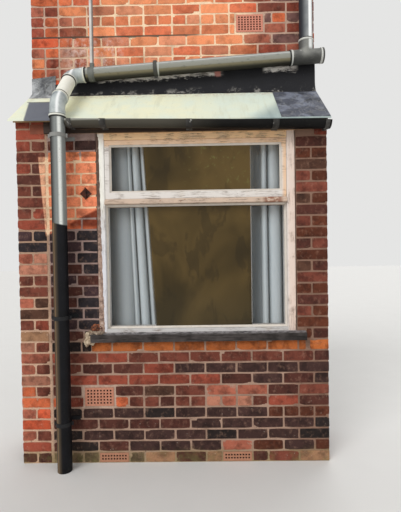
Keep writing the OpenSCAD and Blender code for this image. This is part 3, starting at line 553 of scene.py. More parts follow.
def layHouse():  # bricks of the house wall above the bay: front, back and ends
    house = Pile()
    depth, joint = wall["depth"], wall["joint"]
    top = round(houseHigh.z / course)
    airHole = holeOf("upper_air_brick", wall["airBrickGap"])
    beamLow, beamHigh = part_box("house_beam")
    beamHole = (beamLow.x, beamHigh.x, beamLow.z, beamHigh.z + wall["beamGap"])
    for row in range(int(houseLow.z / course), top):
        low, high = max(row * course + joint / 2, houseLow.z), (row + 1) * course - joint / 2
        high = houseHigh.z if row == top - 1 else high
        kind = "headers" if top - row in bond["houseHeaders"] else "odd" if row % 2 else "even"
        shown = high > roofHigh.z - wall["hidden"]
        for start, end in layCourse(houseLow.x, houseHigh.x, bond[kind]):
            if shown:
                for x0, x1, z0, z1 in without([(start, end, low, high)], airHole):
                    mix = mixAt(houseMixes, (x0 + x1) / 2, row)
                    house.add((x0, houseLow.y, z0), (x1, houseLow.y + depth, z1), mix)
            for x0, x1, z0, z1 in without([(start, end, low, high)], beamHole):
                house.add((x0, houseHigh.y - depth, z0), (x1, houseHigh.y, z1), plainMix)
        near = houseLow.y + (depth + joint if shown else 0)
        far = houseHigh.y - depth - joint
        for outer, sign in ((houseLow.x, 1), (houseHigh.x, -1)):
            sides = sorted((outer, outer + sign * depth))
            if far - near > wall["smallest"] - wall["recess"]:
                house.add((sides[0], near, low), (sides[1], far, high), plainMix)
    return house


def cutToSlope(piece):  # takes the bricks under the roof down to its slope
    editAll(piece)
    slope = (0, -math.sin(roofPitch), math.cos(roofPitch))
    bpy.ops.mesh.bisect(plane_co=(0, houseLow.y, cheekHigh.z - 0.001), plane_no=slope,
                        use_fill=True, clear_outer=True)
    bpy.ops.object.mode_set(mode="OBJECT")


# Painted sunlight and shade on the walls, and what weather and mending left on them
marks = {
    # bounds of the painted sunlight on the left pier
    "sunLeft": -0.852, "sunLean": 0.078, "sunRight": -0.57, "sunFoot": 2.3, "sunSlope": 0.5, "sunTop": 2.42,
    "houseFront": (0.22, 0.26), "houseFoot": (2.75, 2.95),
    "houseLeft": (-1.1, -0.5), "houseRight": (0.55, 0.8),
    "rightEnd": (0.85, 1.0), "pierRight": (-0.6, -0.57), "pierFoot": (1.02, 1.05), "quoinFade": (0.9, 2.0),
    "quoinEdge": (-0.004, 0.018), "dirtyFoot": (0.02, 0.17), "splashTop": (0.3, 0.7),
    "greenTop": (0.0, 0.15),
    # patches: left, right and softness, then foot, top and softness
    "vent": ((-0.735, -0.458, 0.008), (0.434, 0.622, 0.008)),
    # painted shade on the pier beside its painted sunlight
    "paintedShade": ((-0.8, -0.57, 0.01), (1.87, 2.43, 0.02)),
    "salts": ((-0.9, -0.45, 0.1), (3.12, 3.5, 0.08)),
    # the gap beside the jamb, with painted shade in it
    "jambJoint": ((-0.594, -0.57, 0.003), (1.6, 2.6, 0.2)),
    "longJoint": (3.508, 3.528, 0.003), "longJointEnd": (0.1, 0.3),  # an open bed joint above the roof, with painted shade in it
}
# mortar tones; the two sunlit ones are painted sunlight
mortarTones = {
    "sand": (168, 138, 120), "rightEnd": (136, 106, 90), "pier": (158, 134, 126),
    "quoinLow": (206, 170, 144), "quoinHigh": (170, 138, 116), "sunlitTone": (246, 210, 172),
    "vent": (196, 168, 150), "house": (196, 164, 144), "sunlitHouseTone": (252, 222, 186),
    "dirt": (110, 90, 80), "foot": (150, 134, 92), "grit": (120, 100, 86), "holes": (58, 46, 40),
    # painted shade in open joints
    "jointShadow": (44, 34, 30),
}
# marks laid over the bricks: the first three warm tones are painted sunlight, the fourth painted shade; the
# rest are weathering
brickMarks = {
    "paintedSun": (255, 152, 112), "quoinPaintedSun": (255, 200, 160), "housePaintedSun": (255, 176, 128),
    "paintedShade": (128, 100, 98), "stains": (88, 70, 68), "salts": (240, 222, 214), "drag": (214, 168, 142),
    "grit": (40, 28, 28), "pits": (40, 28, 26), "specks": (196, 188, 176), "green": (108, 106, 62),
}


def markedPatch(x, z, name):
    across, up = marks[name]
    return x.band(*across) * z.band(*up)


def paintedSunPatch(point):  # painted sunlight on the left pier, with its slanting foot
    x, _, z = point.parts()
    left = (x + z * marks["sunLean"]).above(marks["sunLeft"], 0.004)
    foot = (z - x * marks["sunSlope"]).above(marks["sunFoot"], 0.012)
    return left * (1 - x.above(marks["sunRight"], 0.005)) * foot * (1 - z.above(marks["sunTop"], 0.01))


def houseFront(y):
    return 1 - y.rise(*marks["houseFront"])


def paintedSunWall(point):  # painted sunlight on the middle of the house wall above the roof
    x, y, z = point.parts()
    across = x.rise(*marks["houseLeft"]) * (1 - x.rise(*marks["houseRight"]))
    return across * z.rise(*marks["houseFoot"]) * houseFront(y)


def mortarTone(point):
    x, y, z = point.parts()
    dirt = point.noise(7, 6, 0.65)
    shades = mortarTones
    start, end = marks["quoinEdge"]
    quoinTone = z.rise(*marks["quoinFade"]).pick(shades["quoinLow"], shades["quoinHigh"])
    return coats(
        x.rise(*marks["rightEnd"]).pick(shades["sand"], shades["rightEnd"]),
        ((1 - x.rise(*marks["pierRight"])) * z.rise(*marks["pierFoot"]), shades["pier"]),
        (1 - x.rise(quoin + start, quoin + end), quoinTone),
        # painted sunlight on the pier
        (paintedSunPatch(point), shades["sunlitTone"]),
        (markedPatch(x, z, "vent") * 0.8, shades["vent"]),
        (z.rise(*marks["houseFoot"]) * houseFront(y), shades["house"]),
        # painted sunlight on the house wall
        (paintedSunWall(point), shades["sunlitHouseTone"]),
        (dirt.rise(0.46, 0.66) * 0.35, shades["dirt"], "MULTIPLY"),
        ((1 - z.rise(*marks["dirtyFoot"])) * dirt.rise(0.3, 0.55) * 0.7, shades["foot"]))


def brickPaint(point):
    tone = point.attribute("brickTone", "Color")
    smear = point.attribute("brickTone", "Alpha")
    x, y, z = point.parts()
    cloud = point.noise(13, 5, 0.62)
    drag = point.stretched(1, 1, 0.8).noise(26, 6, 0.7)
    grit = point.noise(180, 3, 0.7)
    # painted sunlight on the pier, its corner and the house wall, and painted shade beside the pier's patch
    paintedSun = paintedSunPatch(point)
    quoinPaintedSun = paintedSun * (1 - x.above(quoin, 0.01))
    paintedShade = markedPatch(x, z, "paintedShade") * (1 - paintedSun)
    stains = cloud.rise(0.4, 0.68) * (0.6 - paintedSunWall(point) * 0.25)
    salts = markedPatch(x, z, "salts") * drag.rise(0.42, 0.62) * houseFront(y)
    pits = 1 - point.cells(90).rise(0.1, 0.24)
    daub = (smear + point.noise(26, 6, 0.72) - 0.8).rise(0.0, 0.11)  # mortar smeared over the brick
    splash = 1 - z.rise(*marks["splashTop"])
    specks = (1 - point.cells(34).rise(0.07, 0.12)) * splash * drag.rise(0.45, 0.6)
    green = (1 - z.rise(*marks["greenTop"])) * point.noise(9, 6, 0.65).rise(0.45, 0.7)
    colour = coats(
        tone,
        # the next four layers are painted sunlight and painted shade
        (paintedSun * 0.62, brickMarks["paintedSun"]),
        (quoinPaintedSun * 0.6, brickMarks["quoinPaintedSun"]),
        (paintedSunWall(point) * 0.26, brickMarks["housePaintedSun"]),
        (paintedShade * 0.8, brickMarks["paintedShade"], "MULTIPLY"),
        (stains, brickMarks["stains"], "MULTIPLY"),
        (salts * 0.45, brickMarks["salts"]),
        (drag.rise(0.5, 0.72) * 0.16, brickMarks["drag"]),
        (grit.rise(0.55, 0.7) * 0.4, brickMarks["grit"]),
        (pits * 0.5, brickMarks["pits"]),
        (daub * 0.85, mortarTone(point)),
        (specks * 0.6, brickMarks["specks"]),
        (green * 0.55, brickMarks["green"]))
    return {"Base Color": colour, "Roughness": 0.82 + grit * 0.15,
            "height": cloud * 0.6 + drag * 0.3 + grit * 0.25 - daub * 0.3}


def mortarPaint(point):
    x, _, z = point.parts()
    sand = point.noise(240, 2, 0.7)
    holes = point.noise(48, 5, 0.7)
    longJoint = z.band(*marks["longJoint"]) * (1 - x.rise(*marks["longJointEnd"]))
    # open joints darkened with painted shade
    jointShadow = longJoint.most(markedPatch(x, z, "jambJoint"))
    colour = coats(
        mortarTone(point),
        (sand.rise(0.42, 0.7) * 0.35, mortarTones["grit"]),
        (holes.rise(0.58, 0.72) * 0.6, mortarTones["holes"]),
        (jointShadow * 0.85, mortarTones["jointShadow"]))
    return {"Base Color": colour, "Roughness": 0.92, "height": sand * 0.5 + holes}


# Mortar beds: each wall's own solid, a little smaller on the faces that show
def makeMortarBeds(mortar):
    recess = wall["recess"]
    beds = {  # which faces move: axis, place and shift
        "front_wall": ((1, bayLow.y, recess), (0, bayLow.x, recess), (0, bayHigh.x, -recess)),
        "left_side_wall": ((0, bayLow.x, recess), (1, houseHigh.y, -recess), (1, bayLow.y, recess)),
        "right_side_wall": ((0, bayHigh.x, -recess), (1, houseHigh.y, -recess), (1, bayLow.y, recess)),
        "upper_wall": (
            (1, houseLow.y, recess), (1, houseHigh.y, -recess), (0, houseLow.x, recess),
            (0, houseHigh.x, -recess), (2, houseHigh.z, -2 * recess),
        ),
    }
    for name, moves in beds.items():
        piece = nodes[name].copy()
        piece.data = nodes[name].data.copy()
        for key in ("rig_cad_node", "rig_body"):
            del piece[key]
        piece.parent = None
        bpy.context.scene.collection.objects.link(piece)
        editAll(piece)
        bpy.ops.mesh.remove_doubles(threshold=0.00001)
        bpy.ops.object.mode_set(mode="OBJECT")
        for vertex in piece.data.vertices:
            for axis, place, shift in moves:
                if abs(vertex.co[axis] - place) < 0.0005:
                    vertex.co[axis] = place + shift
        slot = "house_brick" if name == "upper_wall" else "bay_brick"
        addPiece(piece, name.split("_")[0] + "Mortar", mortar, [name])


def layWalls():
    brick = makeMaterial("weatheredBrick", brickPaint, bump=0.6, depth=0.003, Specular_IOR_Level=0.25)
    mortar = makeMaterial("sandMortar", mortarPaint, bump=0.7, depth=0.003, Specular_IOR_Level=0.15)
    piles = layBay()
    piles["front"].build("frontBricks", "bay_brick", brick)
    for side in ("left", "right"):
        cutToSlope(piles[side].build(side + "Bricks", "bay_brick", brick))
    house = layHouse()
    house.build("houseBricks", "house_brick", brick)
    print("bricks laid", sum(len(p.points) for p in (*piles.values(), house)))
    makeMortarBeds(mortar)


layWalls()
print("walls laid")

# Window: old paint on its timber; the higher "bare" is, the less wood shows
paints = {
    "jambPaint": {
        "node": "frame_jambs", "along": 2, "paint": (226, 224, 222), "wood": (150, 128, 112), "bare": 1.08,
        "cracks": 0.7, "bump": 0.4, "warm": ((0.85, 0.95), (2.46, 2.6), (226, 200, 182)),
        # a painted sunlit tone high on the left jamb, and a bluish painted shade below it
        "cool": (214, 218, 234), "sunlitTone": (255, 252, 236), "knots": (60, 46, 40),
        "leftJamb": (-0.56, -0.5), "coolTop": (1.5, 2.0), "sunnyFrom": (1.9, 2.1), "rightJamb": (0.9, 0.92),
    },
    "railPaint": {
        "node": "frame_bottom_rail", "along": 0, "paint": (204, 202, 200), "wood": (128, 114, 102),
        "bare": 1.02, "cracks": 0.8, "bump": 0.4,
    },
    "headPaint": {
        "node": "frame_head", "along": 0, "paint": (255, 210, 156), "wood": (186, 130, 82), "bare": 0.94,
        "cracks": 0.8, "bump": 0.5,
    },
    "sashPaint": {
        "node": "top_sash", "along": 0, "paint": (226, 220, 214), "wood": (150, 128, 108), "bare": 1.06,
        "cracks": 0.7, "bump": 0.4, "warm": ((0.84, 0.9), (2.46, 2.53), (228, 184, 140)),
    },
    "dripPaint": {
        "node": "frame_transom", "along": 0, "paint": (206, 180, 158), "wood": (156, 112, 86), "bare": 0.92,
        "cracks": 0.9, "bump": 0.5, "patch": (128, 74, 48), "patchEnds": (0.72, 0.86, 0.02),
    },
    "boardPaint": {
        "node": "window_board", "along": 0, "paint": (226, 226, 220), "wood": (190, 184, 170), "bare": 1.1,
        "cracks": 0.1, "bump": 0.2,
    },
}
paintMarks = {"fine": (170, 162, 152), "worn": (198, 184, 166), "cracks": (96, 70, 52), "grain": (30, 1.4)}
puttyTones = {"pale": (228, 222, 214), "dull": (200, 188, 172), "cracks": (146, 128, 110)}
glass = {  # tinted dark in the middle of each pane with painted shade of the room and painted reflections, clear in front of the curtains
    "left": (-0.152, -0.132), "lean": 0.056, "leanFrom": 1.06, "right": (0.616, 0.629),
    "fleckLow": (2.1, 2.25), "fleckLeft": (0.0, 0.35), "shadeHigh": (1.1, 1.5),
    "dark": (56, 45, 22), "warm": (92, 74, 40), "reflectedShapes": (36, 30, 18), "reflectedFlecks": (110, 112, 62),
    "foot": (58, 52, 36),
}
slate = {
    "deep": (22, 17, 14), "grey": (72, 66, 64), "top": (124, 120, 120), "leaf": (124, 118, 116),
    "edge": (176, 171, 173), "splits": (16, 12, 10), "edgeFrom": (0.012, 0.003), "topFrom": (0.004, 0.001),
}


def oldPaint(name, extra=None):
    spec = paints[name]

    def look(point):
        cross, along = paintMarks["grain"]
        scale = [cross, cross, cross]
        scale[spec["along"]] = along
        grain = point.stretched(*scale).noise(3, 5, 0.6)
        fine = point.stretched(*[s * 2.6 for s in scale]).noise(3, 3, 0.6)
        x, _, z = point.parts()
        cloud = point.noise(8, 5, 0.6)
        chips = point.noise(30, 5, 0.6)
        lost = (chips + cloud * 0.5).rise(spec["bare"], spec["bare"] + 0.05)
        crack = (1 - abs(grain - 0.5).rise(0.008, 0.032)) * cloud.rise(0.42, 0.58) * spec["cracks"]
        colour = coats(
            (fine * 0.3).pick(spec["paint"], paintMarks["fine"]),
            (cloud.rise(0.5, 0.75) * 0.4, paintMarks["worn"]))
        if "warm" in spec:  # towards the top and the right
            right, top, warm = spec["warm"]
            share = (x.rise(*right) + z.rise(*top)).rise(0.2, 0.9)
            colour = (share * (0.55 + cloud * 0.5)).pick(colour, warm)
        colour = coats(colour, (lost, spec["wood"]), (crack, paintMarks["cracks"]))
        if extra:
            colour = extra(point, colour)
        return {"Base Color": colour, "Roughness": 0.5 + lost * 0.3,
                "height": grain * 0.4 - lost * 0.5 - crack * 0.8}

    return makeMaterial(name, look, bump=spec["bump"])


def dressWindow():
    def jambLook(point, colour):
        spec = paints["jambPaint"]
        x, _, z = point.parts()
        left = 1 - x.rise(*spec["leftJamb"])
        knots = point.stretched(1, 0, 0.5).cells(4.2).rise(0.028, 0.04)
        return coats(
            colour,
            # bluish painted shade low on the left jamb, painted sunlight above it
            (left * (1 - z.rise(*spec["coolTop"])) * 0.5, spec["cool"]),
            (left * z.rise(*spec["sunnyFrom"]) * 0.6, spec["sunlitTone"]),
            ((1 - knots) * x.rise(*spec["rightJamb"]), spec["knots"]))

    def dripLook(point, colour):
        spec = paints["dripPaint"]
        x, _, _ = point.parts()
        patch = x.band(*spec["patchEnds"]) * point.noise(30, 4).rise(0.36, 0.5)
        return (patch * 0.85).pick(colour, spec["patch"])

    looks = {"jambPaint": jambLook, "dripPaint": dripLook}
    for name, spec in paints.items():
        dress(spec["node"], oldPaint(name, looks.get(name)))

    def puttyLook(point):
        cloud = point.noise(16, 5, 0.6)
        crack = point.noise(60, 4, 0.7).rise(0.6, 0.7)
        colour = cloud.pick(puttyTones["pale"], puttyTones["dull"])
        return {"Base Color": (crack * 0.4).pick(colour, puttyTones["cracks"]),
                "Roughness": 0.7, "height": cloud - crack}

    dress("putty_beads", makeMaterial("putty", puttyLook))

    def glassLook(point):
        x, _, z = point.parts()
        edge = x + (z - glass["leanFrom"]) * glass["lean"]
        tinted = edge.rise(*glass["left"]) * (1 - x.rise(*glass["right"]))
        # painted reflections over the dark middle
        reflectionHaze = point.stretched(1, 1, 0.5).noise(2.2, 3, 0.5, 0.6)
        reflectedShapes = point.stretched(1.6, 1, 0.7).noise(5, 3, 0.5, 0.4)
        reflectedFlecks = point.noise(26, 5, 0.7).rise(0.56, 0.66) * z.rise(*glass["fleckLow"])
        reflectedFlecks = reflectedFlecks * x.rise(*glass["fleckLeft"])
        colour = coats(
            reflectionHaze.rise(0.35, 0.65).pick(glass["dark"], glass["warm"]),
            (reflectedShapes.rise(0.52, 0.6) * 0.35, glass["reflectedShapes"]),
            (reflectedFlecks * 0.5, glass["reflectedFlecks"]),
            # painted shade, darker towards the foot
            ((1 - z.rise(*glass["shadeHigh"])) * 0.4, glass["foot"]))
        return {"Base Color": colour, "Alpha": 0.08 + tinted * 0.9, "Roughness": 0.05}

    dress("window_glass", makeMaterial("windowGlass", glassLook, Specular_IOR_Level=0.18))

    def slateLook(point):
        leaf = point.stretched(0.5, 1, 7).noise(14, 5, 0.6)
        cloud = point.noise(8, 5)
        _, _, z = point.parts()
        worn = point.stretched(0.5, 1, 1).noise(60, 5, 0.7)
        edge, top = (z.rise(*[sillHigh.z - below for below in slate[k]]) for k in ("edgeFrom", "topFrom"))
        edge = edge * worn.rise(0.36, 0.6)
        colour = coats(
            cloud.rise(0.3, 0.7).pick(slate["deep"], slate["grey"]),
            (top * 0.6, slate["top"]),
            ((1 - leaf.rise(0.32, 0.42)) * 0.3, slate["leaf"]),
            (edge * 0.7, slate["edge"]),
            (leaf.rise(0.54, 0.64) * 0.7, slate["splits"]))
        return {"Base Color": colour, "Roughness": 0.65 + cloud * 0.2, "height": leaf + cloud}

    dress("window_sill", makeMaterial("slate", slateLook, bump=0.8, depth=0.004, Specular_IOR_Level=0.25))


dressWindow()
print("window finished")

# Roof sheet, lead, and the timber and plaster behind
sheet = {
    "cream": (232, 230, 198), "green": (222, 228, 208), "cool": (204, 218, 210), "streaks": (196, 196, 170),
    # the patch tones at the left are a painted cast shadow, with a darker line along its top
    "rust": (176, 142, 124), "patch": (84, 88, 98), "shadowPale": (112, 115, 124), "patchLine": (58, 60, 66),
    # the bluish tone at the right is a painted cast shadow
    "rightShadow": (98, 124, 136), "specks": (150, 150, 132),
    "patchEnds": (-1.105, -0.86, 0.008), "shadowTop": (0.68, 0.71), "shadowLean": 0.12,
    "lineEnds": (-1.12, -0.86, 0.006), "lineUp": (0.69, 0.715, 0.006), "rustFrom": (0.74, 0.95),
    "coolEdge": (-0.3, 0.9), "rightShadowEdge": (0.5, 0.7), "rightShadowLean": 0.5,
}
lead = {
    "grey": (124, 126, 128), "blue": (82, 85, 96), "pale": (186, 188, 190), "paleBlue": (150, 156, 172),
    "dark": (48, 49, 54), "creases": (206, 206, 202), "blueFrom": (0, 0.5),
}
timber = {
    "pale": (192, 160, 118), "brown": (142, 108, 72), "knots": (92, 62, 40),
    "lintelDark": (92, 50, 38), "lintelRed": (150, 84, 60), "lintelEnd": (-0.99, -0.984),
    "fasciaDark": (34, 25, 18), "fascia": (66, 50, 40), "fasciaStreaks": (104, 78, 58),
}
plasterTones = {"pale": (226, 223, 214), "dull": (212, 207, 195)}


def dressRoof():
    def sheetLook(point):
        x, _, z = point.parts()
        streak = point.stretched(9, 1.4, 1.4).noise(2.4, 5, 0.6)
        cloud = point.noise(4, 5, 0.6, 0.4)
        fine = point.noise(60, 4, 0.6)
        up = (z - roofLow.z) / (roofHigh.z - roofLow.z)
        leaning = x + up * sheet["shadowLean"]
        rust = up.rise(*sheet["rustFrom"]) * point.stretched(1, 1, 2).noise(34, 4, 0.7).rise(0.46, 0.6)
        # a painted cast shadow at the left, with a darker line along its top, and another at the right
        patch = leaning.band(*sheet["patchEnds"]) * (1 - up.rise(*sheet["shadowTop"]))
        line = leaning.band(*sheet["lineEnds"]) * up.band(*sheet["lineUp"])
        rightShadow = (x - up * sheet["rightShadowLean"]).rise(*sheet["rightShadowEdge"]) * (streak * 0.5 + 0.75)
        colour = coats(
            cloud.rise(0.35, 0.65).pick(sheet["cream"], sheet["green"]),
            (x.rise(*sheet["coolEdge"]) * 0.6, sheet["cool"]),
            (streak.rise(0.5, 0.72) * 0.4, sheet["streaks"]),
            (rust * 0.7, sheet["rust"]),
            (patch, cloud.pick(sheet["patch"], sheet["shadowPale"])),
            (line * 0.8, sheet["patchLine"]),
            (rightShadow * 0.6, sheet["rightShadow"]),
            (fine.rise(0.6, 0.75) * 0.3, sheet["specks"]))
        return {"Base Color": colour, "Roughness": 0.7 + fine * 0.2, "height": streak + fine * 0.4}

    dress("roof_sheet", makeMaterial("paleSheet", sheetLook, bump=0.4))

    def leadLook(point):
        cloud = point.noise(7, 6, 0.6, 0.9)
        fine = point.noise(46, 4, 0.6)
        crease = 1 - abs(point.noise(9, 3, 0.5, 1.2) - 0.5).rise(0.008, 0.05)
        x, _, _ = point.parts()
        right = x.rise(*lead["blueFrom"])
        colour = coats(
            right.pick(lead["grey"], lead["blue"]),
            (cloud.rise(0.5, 0.64) * (0.8 - right * 0.35), right.pick(lead["pale"], lead["paleBlue"])),
            ((1 - cloud.rise(0.36, 0.48)) * 0.8, lead["dark"]),
            (crease * 0.12, lead["creases"]))
        return {"Base Color": colour, "Roughness": 0.55 + cloud * 0.2,
                "height": cloud + fine * 0.2 + crease}

    dress("lead_corner lead_patch", makeMaterial("lead", leadLook, bump=0.7, depth=0.006, Metallic=0.2))

    def darkLook(point):
        cloud = point.stretched(1, 1, 3).noise(7, 5, 0.6)
        streak = point.stretched(1.5, 1, 12).noise(5, 4, 0.6).rise(0.55, 0.7)
        colour = cloud.pick(timber["fasciaDark"], timber["fascia"])
        return {"Base Color": (streak * 0.5).pick(colour, timber["fasciaStreaks"]), "Roughness": 0.7,
                "height": cloud + streak * 0.3}

    dress("fascia_board", makeMaterial("darkPaint", darkLook, Specular_IOR_Level=0.3))

    def timberLook(point):
        grain = point.stretched(1.2, 9, 14).noise(4, 5, 0.6, 0.8)
        knots = point.stretched(1.5, 6, 6).cells(2.2)
        colour = grain.pick(timber["pale"], timber["brown"])
        return {"Base Color": ((1 - knots.rise(0.05, 0.16)) * 0.6).pick(colour, timber["knots"]),
                "Roughness": 0.75, "height": grain}

    def lintelLook(point):  # its left end stands bare in the brickwork
        x, _, _ = point.parts()
        base = timberLook(point)
        stain = point.noise(20, 5, 0.6).pick(timber["lintelDark"], timber["lintelRed"])
        base["Base Color"] = x.rise(*timber["lintelEnd"]).pick(stain, base["Base Color"])
        return base

    dress("window_lintel", makeMaterial("lintelTimber", lintelLook, Specular_IOR_Level=0.3))
    dress("house_beam rafters roof_boards floor_joists floor_boards",
          makeMaterial("sawnTimber", timberLook, Specular_IOR_Level=0.3))

    def plasterLook(point):
        cloud = point.noise(3, 4, 0.5)
        fine = point.noise(120, 3, 0.6)
        return {"Base Color": cloud.pick(plasterTones["pale"], plasterTones["dull"]), "Roughness": 0.85,
                "height": fine * 0.4 + cloud}

    dress("bay_ceiling front_plaster side_plaster", makeMaterial("plaster", plasterLook, bump=0.15))


dressRoof()

# Black flashing, dressed up the house wall behind the soil pipe, with a torn upper edge
flashing = {
    "columns": 220, "rows": 8, "torn": 0.012, "lump": 0.006, "cover": 0.055, "taper": 0.35,
    "leftShare": 0.4, "thick": 0.005, "clear": 0.004, "lift": 0.002, "kick": 0.01, "seed": 11, "smooth": 40,
    "waves": ((0.5, 9, 0), (0.3, 23, 1)), "steps": 0.35, "lumps": ((31, 4), (17, -9)),
    "tornLeft": (-0.62, 0.4, 0.05), "tornRight": (0.78, 1.06, 0.02), "pinkEnd": (0.36, 0.41, 0.01),
    "black": (16, 16, 19), "grey": (38, 38, 42), "grit": (92, 92, 92), "tear": (132, 126, 122),
    "tearPale": (236, 231, 224), "pink": (196, 132, 122), "foot": (96, 94, 92), "footPale": (184, 180, 172),
}


def flashingPlace(low, high, across, up, step):
    share, reach = flashing["leftShare"], (high.x - low.x) * across
    x = low.x + reach
    cover = flashing["cover"] * (share + (1 - share) * min(1, reach / flashing["taper"]))
    ragged = sum(size * math.sin(x * rate + start) for size, rate, start in flashing["waves"])
    ragged += flashing["steps"] * step
    top = runLow.z + (x - runLow.x) * runRise + cover + flashing["torn"] * ragged
    lump = sum(math.sin(x * along + up * rise) for along, rise in flashing["lumps"])
    foot = max(0, 1 - up * 3) ** 2  # bends it out over the roof
    y = houseLow.y - flashing["clear"] - (houseLow.y - low.y - flashing["kick"]) * foot
    y -= flashing["lump"] * (0.5 + lump / 4) * (1 - up)
    return x, y, low.z + flashing["lift"] + (top - low.z) * up


def makeFlashing():
    low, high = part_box("roof_flashing")
    columns = flashing["columns"]
    chance = random.Random(flashing["seed"])
    steps = [chance.uniform(-1, 1) for _ in range(columns + 1)]
    piece, places = gridPiece(columns, flashing["rows"])
    edge = piece.data.attributes.new("tornEdge", "FLOAT", "POINT")
    for vertex, across, up in places:
        step = steps[min(round(across * columns), columns)]
        vertex.co = flashingPlace(low, high, across, up, step)
        edge.data[vertex.index].value = up
    thicken(piece, flashing["thick"], 0)

    def look(point):
        up = point.attribute("tornEdge", "Fac")
        x, _, _ = point.parts()
        cloud = point.noise(12, 5, 0.6)
        fine = point.noise(90, 4, 0.6)
        torn = (up + point.stretched(1, 1, 3).noise(20, 5, 0.7) * 0.5).rise(0.92, 1.02)
        torn = torn * x.band(*flashing["tornLeft"]).most(x.band(*flashing["tornRight"]))
        strips = point.stretched(0.25, 1, 1.5).noise(50, 4, 0.65).rise(0.38, 0.56)
        foot = (1 - up.rise(0.1, 0.34)) * point.noise(8, 6, 0.75).rise(0.5, 0.58)
        colour = coats(
            cloud.pick(flashing["black"], flashing["grey"]),
            (fine.rise(0.64, 0.76) * 0.5, flashing["grit"]),
            (torn * 0.92, strips.pick(flashing["tear"], flashing["tearPale"])),
            (x.band(*flashing["pinkEnd"]) * up.rise(0.65, 0.75), flashing["pink"]),
            (foot * 0.75, fine.pick(flashing["foot"], flashing["footPale"])))
        return {"Base Color": colour, "Roughness": 0.55 + cloud * 0.3, "height": cloud + fine * 0.4}

    bitumen = makeMaterial("bitumen", look, bump=0.6, depth=0.004, Specular_IOR_Level=0.25)
    addPiece(piece, "tornFlashing", bitumen, ["roof_flashing"], smooth=flashing["smooth"])


makeFlashing()
print("roof finished")

# Gutter, pipes and small iron: nodes, dark and light of the plastic, scuffs, their share, shine
plastics = {
    "downpipePlastic": ("downpipe", (5, 5, 8), (16, 16, 21), (62, 60, 56), 0.3, 0.18),
    "runPlastic": ("soil_run", (16, 16, 21), (62, 60, 56), (62, 60, 56), 0.3, 0.35),
    "capPlastic": ("rodding_cap", (58, 58, 56), (96, 94, 88), (170, 168, 160), 0.5, 0.35),
    "stackPlastic": ("soil_stack", (120, 124, 128), (152, 154, 154), (62, 60, 56), 0.2, 0.35),
    "teePlastic": ("stack_tee", (84, 84, 82), (142, 142, 136), (216, 214, 206), 0.6, 0.35),
    "bossPlastic": ("strap_boss", (66, 68, 64), (110, 112, 106), (196, 196, 188), 0.5, 0.35),
    "elbowPlastic": (
        "lower_elbow upper_elbow", (144, 152, 155), (196, 202, 199), (240, 242, 236), 0.6, 0.35,
    ),
    "offsetPlastic": ("offset_pipe", (222, 221, 208), (240, 239, 228), (250, 249, 242), 0.5, 0.35),
    "bracketPlastic": ("pipe_brackets", (5, 5, 8), (16, 16, 21), (62, 60, 56), 0.4, 0.35),
    "gutterPlastic": ("gutter", (8, 8, 8), (20, 19, 18), (62, 60, 56), 0.4, 0.15),
    "clipPlastic": ("gutter_brackets", (30, 28, 26), (84, 82, 78), (236, 234, 226), 0.9, 0.35),
    "wastePlastic": ("waste_pipe", (182, 178, 172), (220, 216, 210), (236, 233, 226), 0.5, 0.35),
    "railWhite": ("curtain_rail", (214, 214, 208), (228, 228, 224), (236, 236, 232), 0.5, 0.35),
    "sealRubber": ("", (14, 14, 15), (30, 30, 30), (60, 58, 54), 0.3, 0.35),
}
pipes = {
    "x": (pipeLow.x + pipeHigh.x) / 2, "y": (pipeLow.y + pipeHigh.y) / 2, "bend": math.sqrt(0.5),
    "sunFrom": 1.89, "sunLean": 0.012, "ringWide": 0.013, "collar": 0.0623, "rubber": 0.007,
    "sealRadius": 0.057, "sealThick": 0.005, "sealOut": 0.7, "sealSteps": (40, 8), "sealSmooth": 60,
    "gutterSunlitLeft": (-0.1, 0.45), "runStraps": (2.75, 2.85), "sunnyStraps": (1.8, 2.8, 0.05),
    "strapEdge": (0.002, 0.013, 0.001), "teeRim": 0.016, "teeShadedBelly": (0.03, 0.09), "branch": (0.1, 0.07),
    # painted shade, painted reflections and painted highlights, in radii from a pipe's axis, or in widths
    # from the left of stack and waste
    "reflectionEdge": (-0.5, 0.1), "reflectionLine": (-0.62, -0.5, 0.06), "sunlitShadeEdge": (-0.8, 0.1),
    "sunHighlight": (0.3, 0.68, 0.14), "runLow": (-0.9, -0.5), "runMiddle": (-0.45, -0.25),
    "runTop": (0.1, 0.4), "runHighlight": (0.46, 0.56, 0.05), "stackEdge": (0.1, 0.6),
    "stackHighlight": (0.6, 0.86, 0.07), "elbowEdge": (-0.95, -0.45), "elbowHighlight": (0.12, 0.42, 0.14),
    "wasteEdge": (0.5, 0.85),
}
# most of these tones are painted light and shade: reflections, sunlit tones, highlights, shaded sides and
# bellies
pipeTones = {
    "tan": (92, 78, 60), "reflectionLine": (158, 122, 84), "sunlitShadeSide": (26, 24, 22), "sunGrey": (130, 134, 132),
    "sunHighlight": (240, 242, 236), "sunSpecks": (116, 112, 104),
    "runShadedBelly": (44, 42, 34), "runLow": (120, 113, 88), "runMiddle": (138, 138, 128),
    "runTop": (146, 148, 143), "runHighlight": (214, 218, 213), "runSpecks": (64, 64, 56),
    "strapEdge": (182, 184, 178),
    "stackShadeSide": (30, 34, 42), "stackHighlight": (254, 255, 254), "teeShadedBelly": (36, 36, 34),
    "teeShadeSide": (30, 32, 36), "teeHighlight": (244, 246, 244), "teeRims": (206, 206, 200),
    "elbowShadeSide": (70, 76, 80), "elbowHighlight": (252, 253, 252), "rings": (226, 225, 212),
    "seals": (20, 20, 21), "wasteShadeSide": (92, 88, 86), "gutterSunlitLeft": (88, 84, 74),
    "gutterRimHighlight": (150, 150, 142),
    "runStrap": (66, 66, 62), "sunnyStrap": (132, 132, 128),
}
hookTones = {"dark": (34, 20, 18), "rust": (96, 46, 30)}
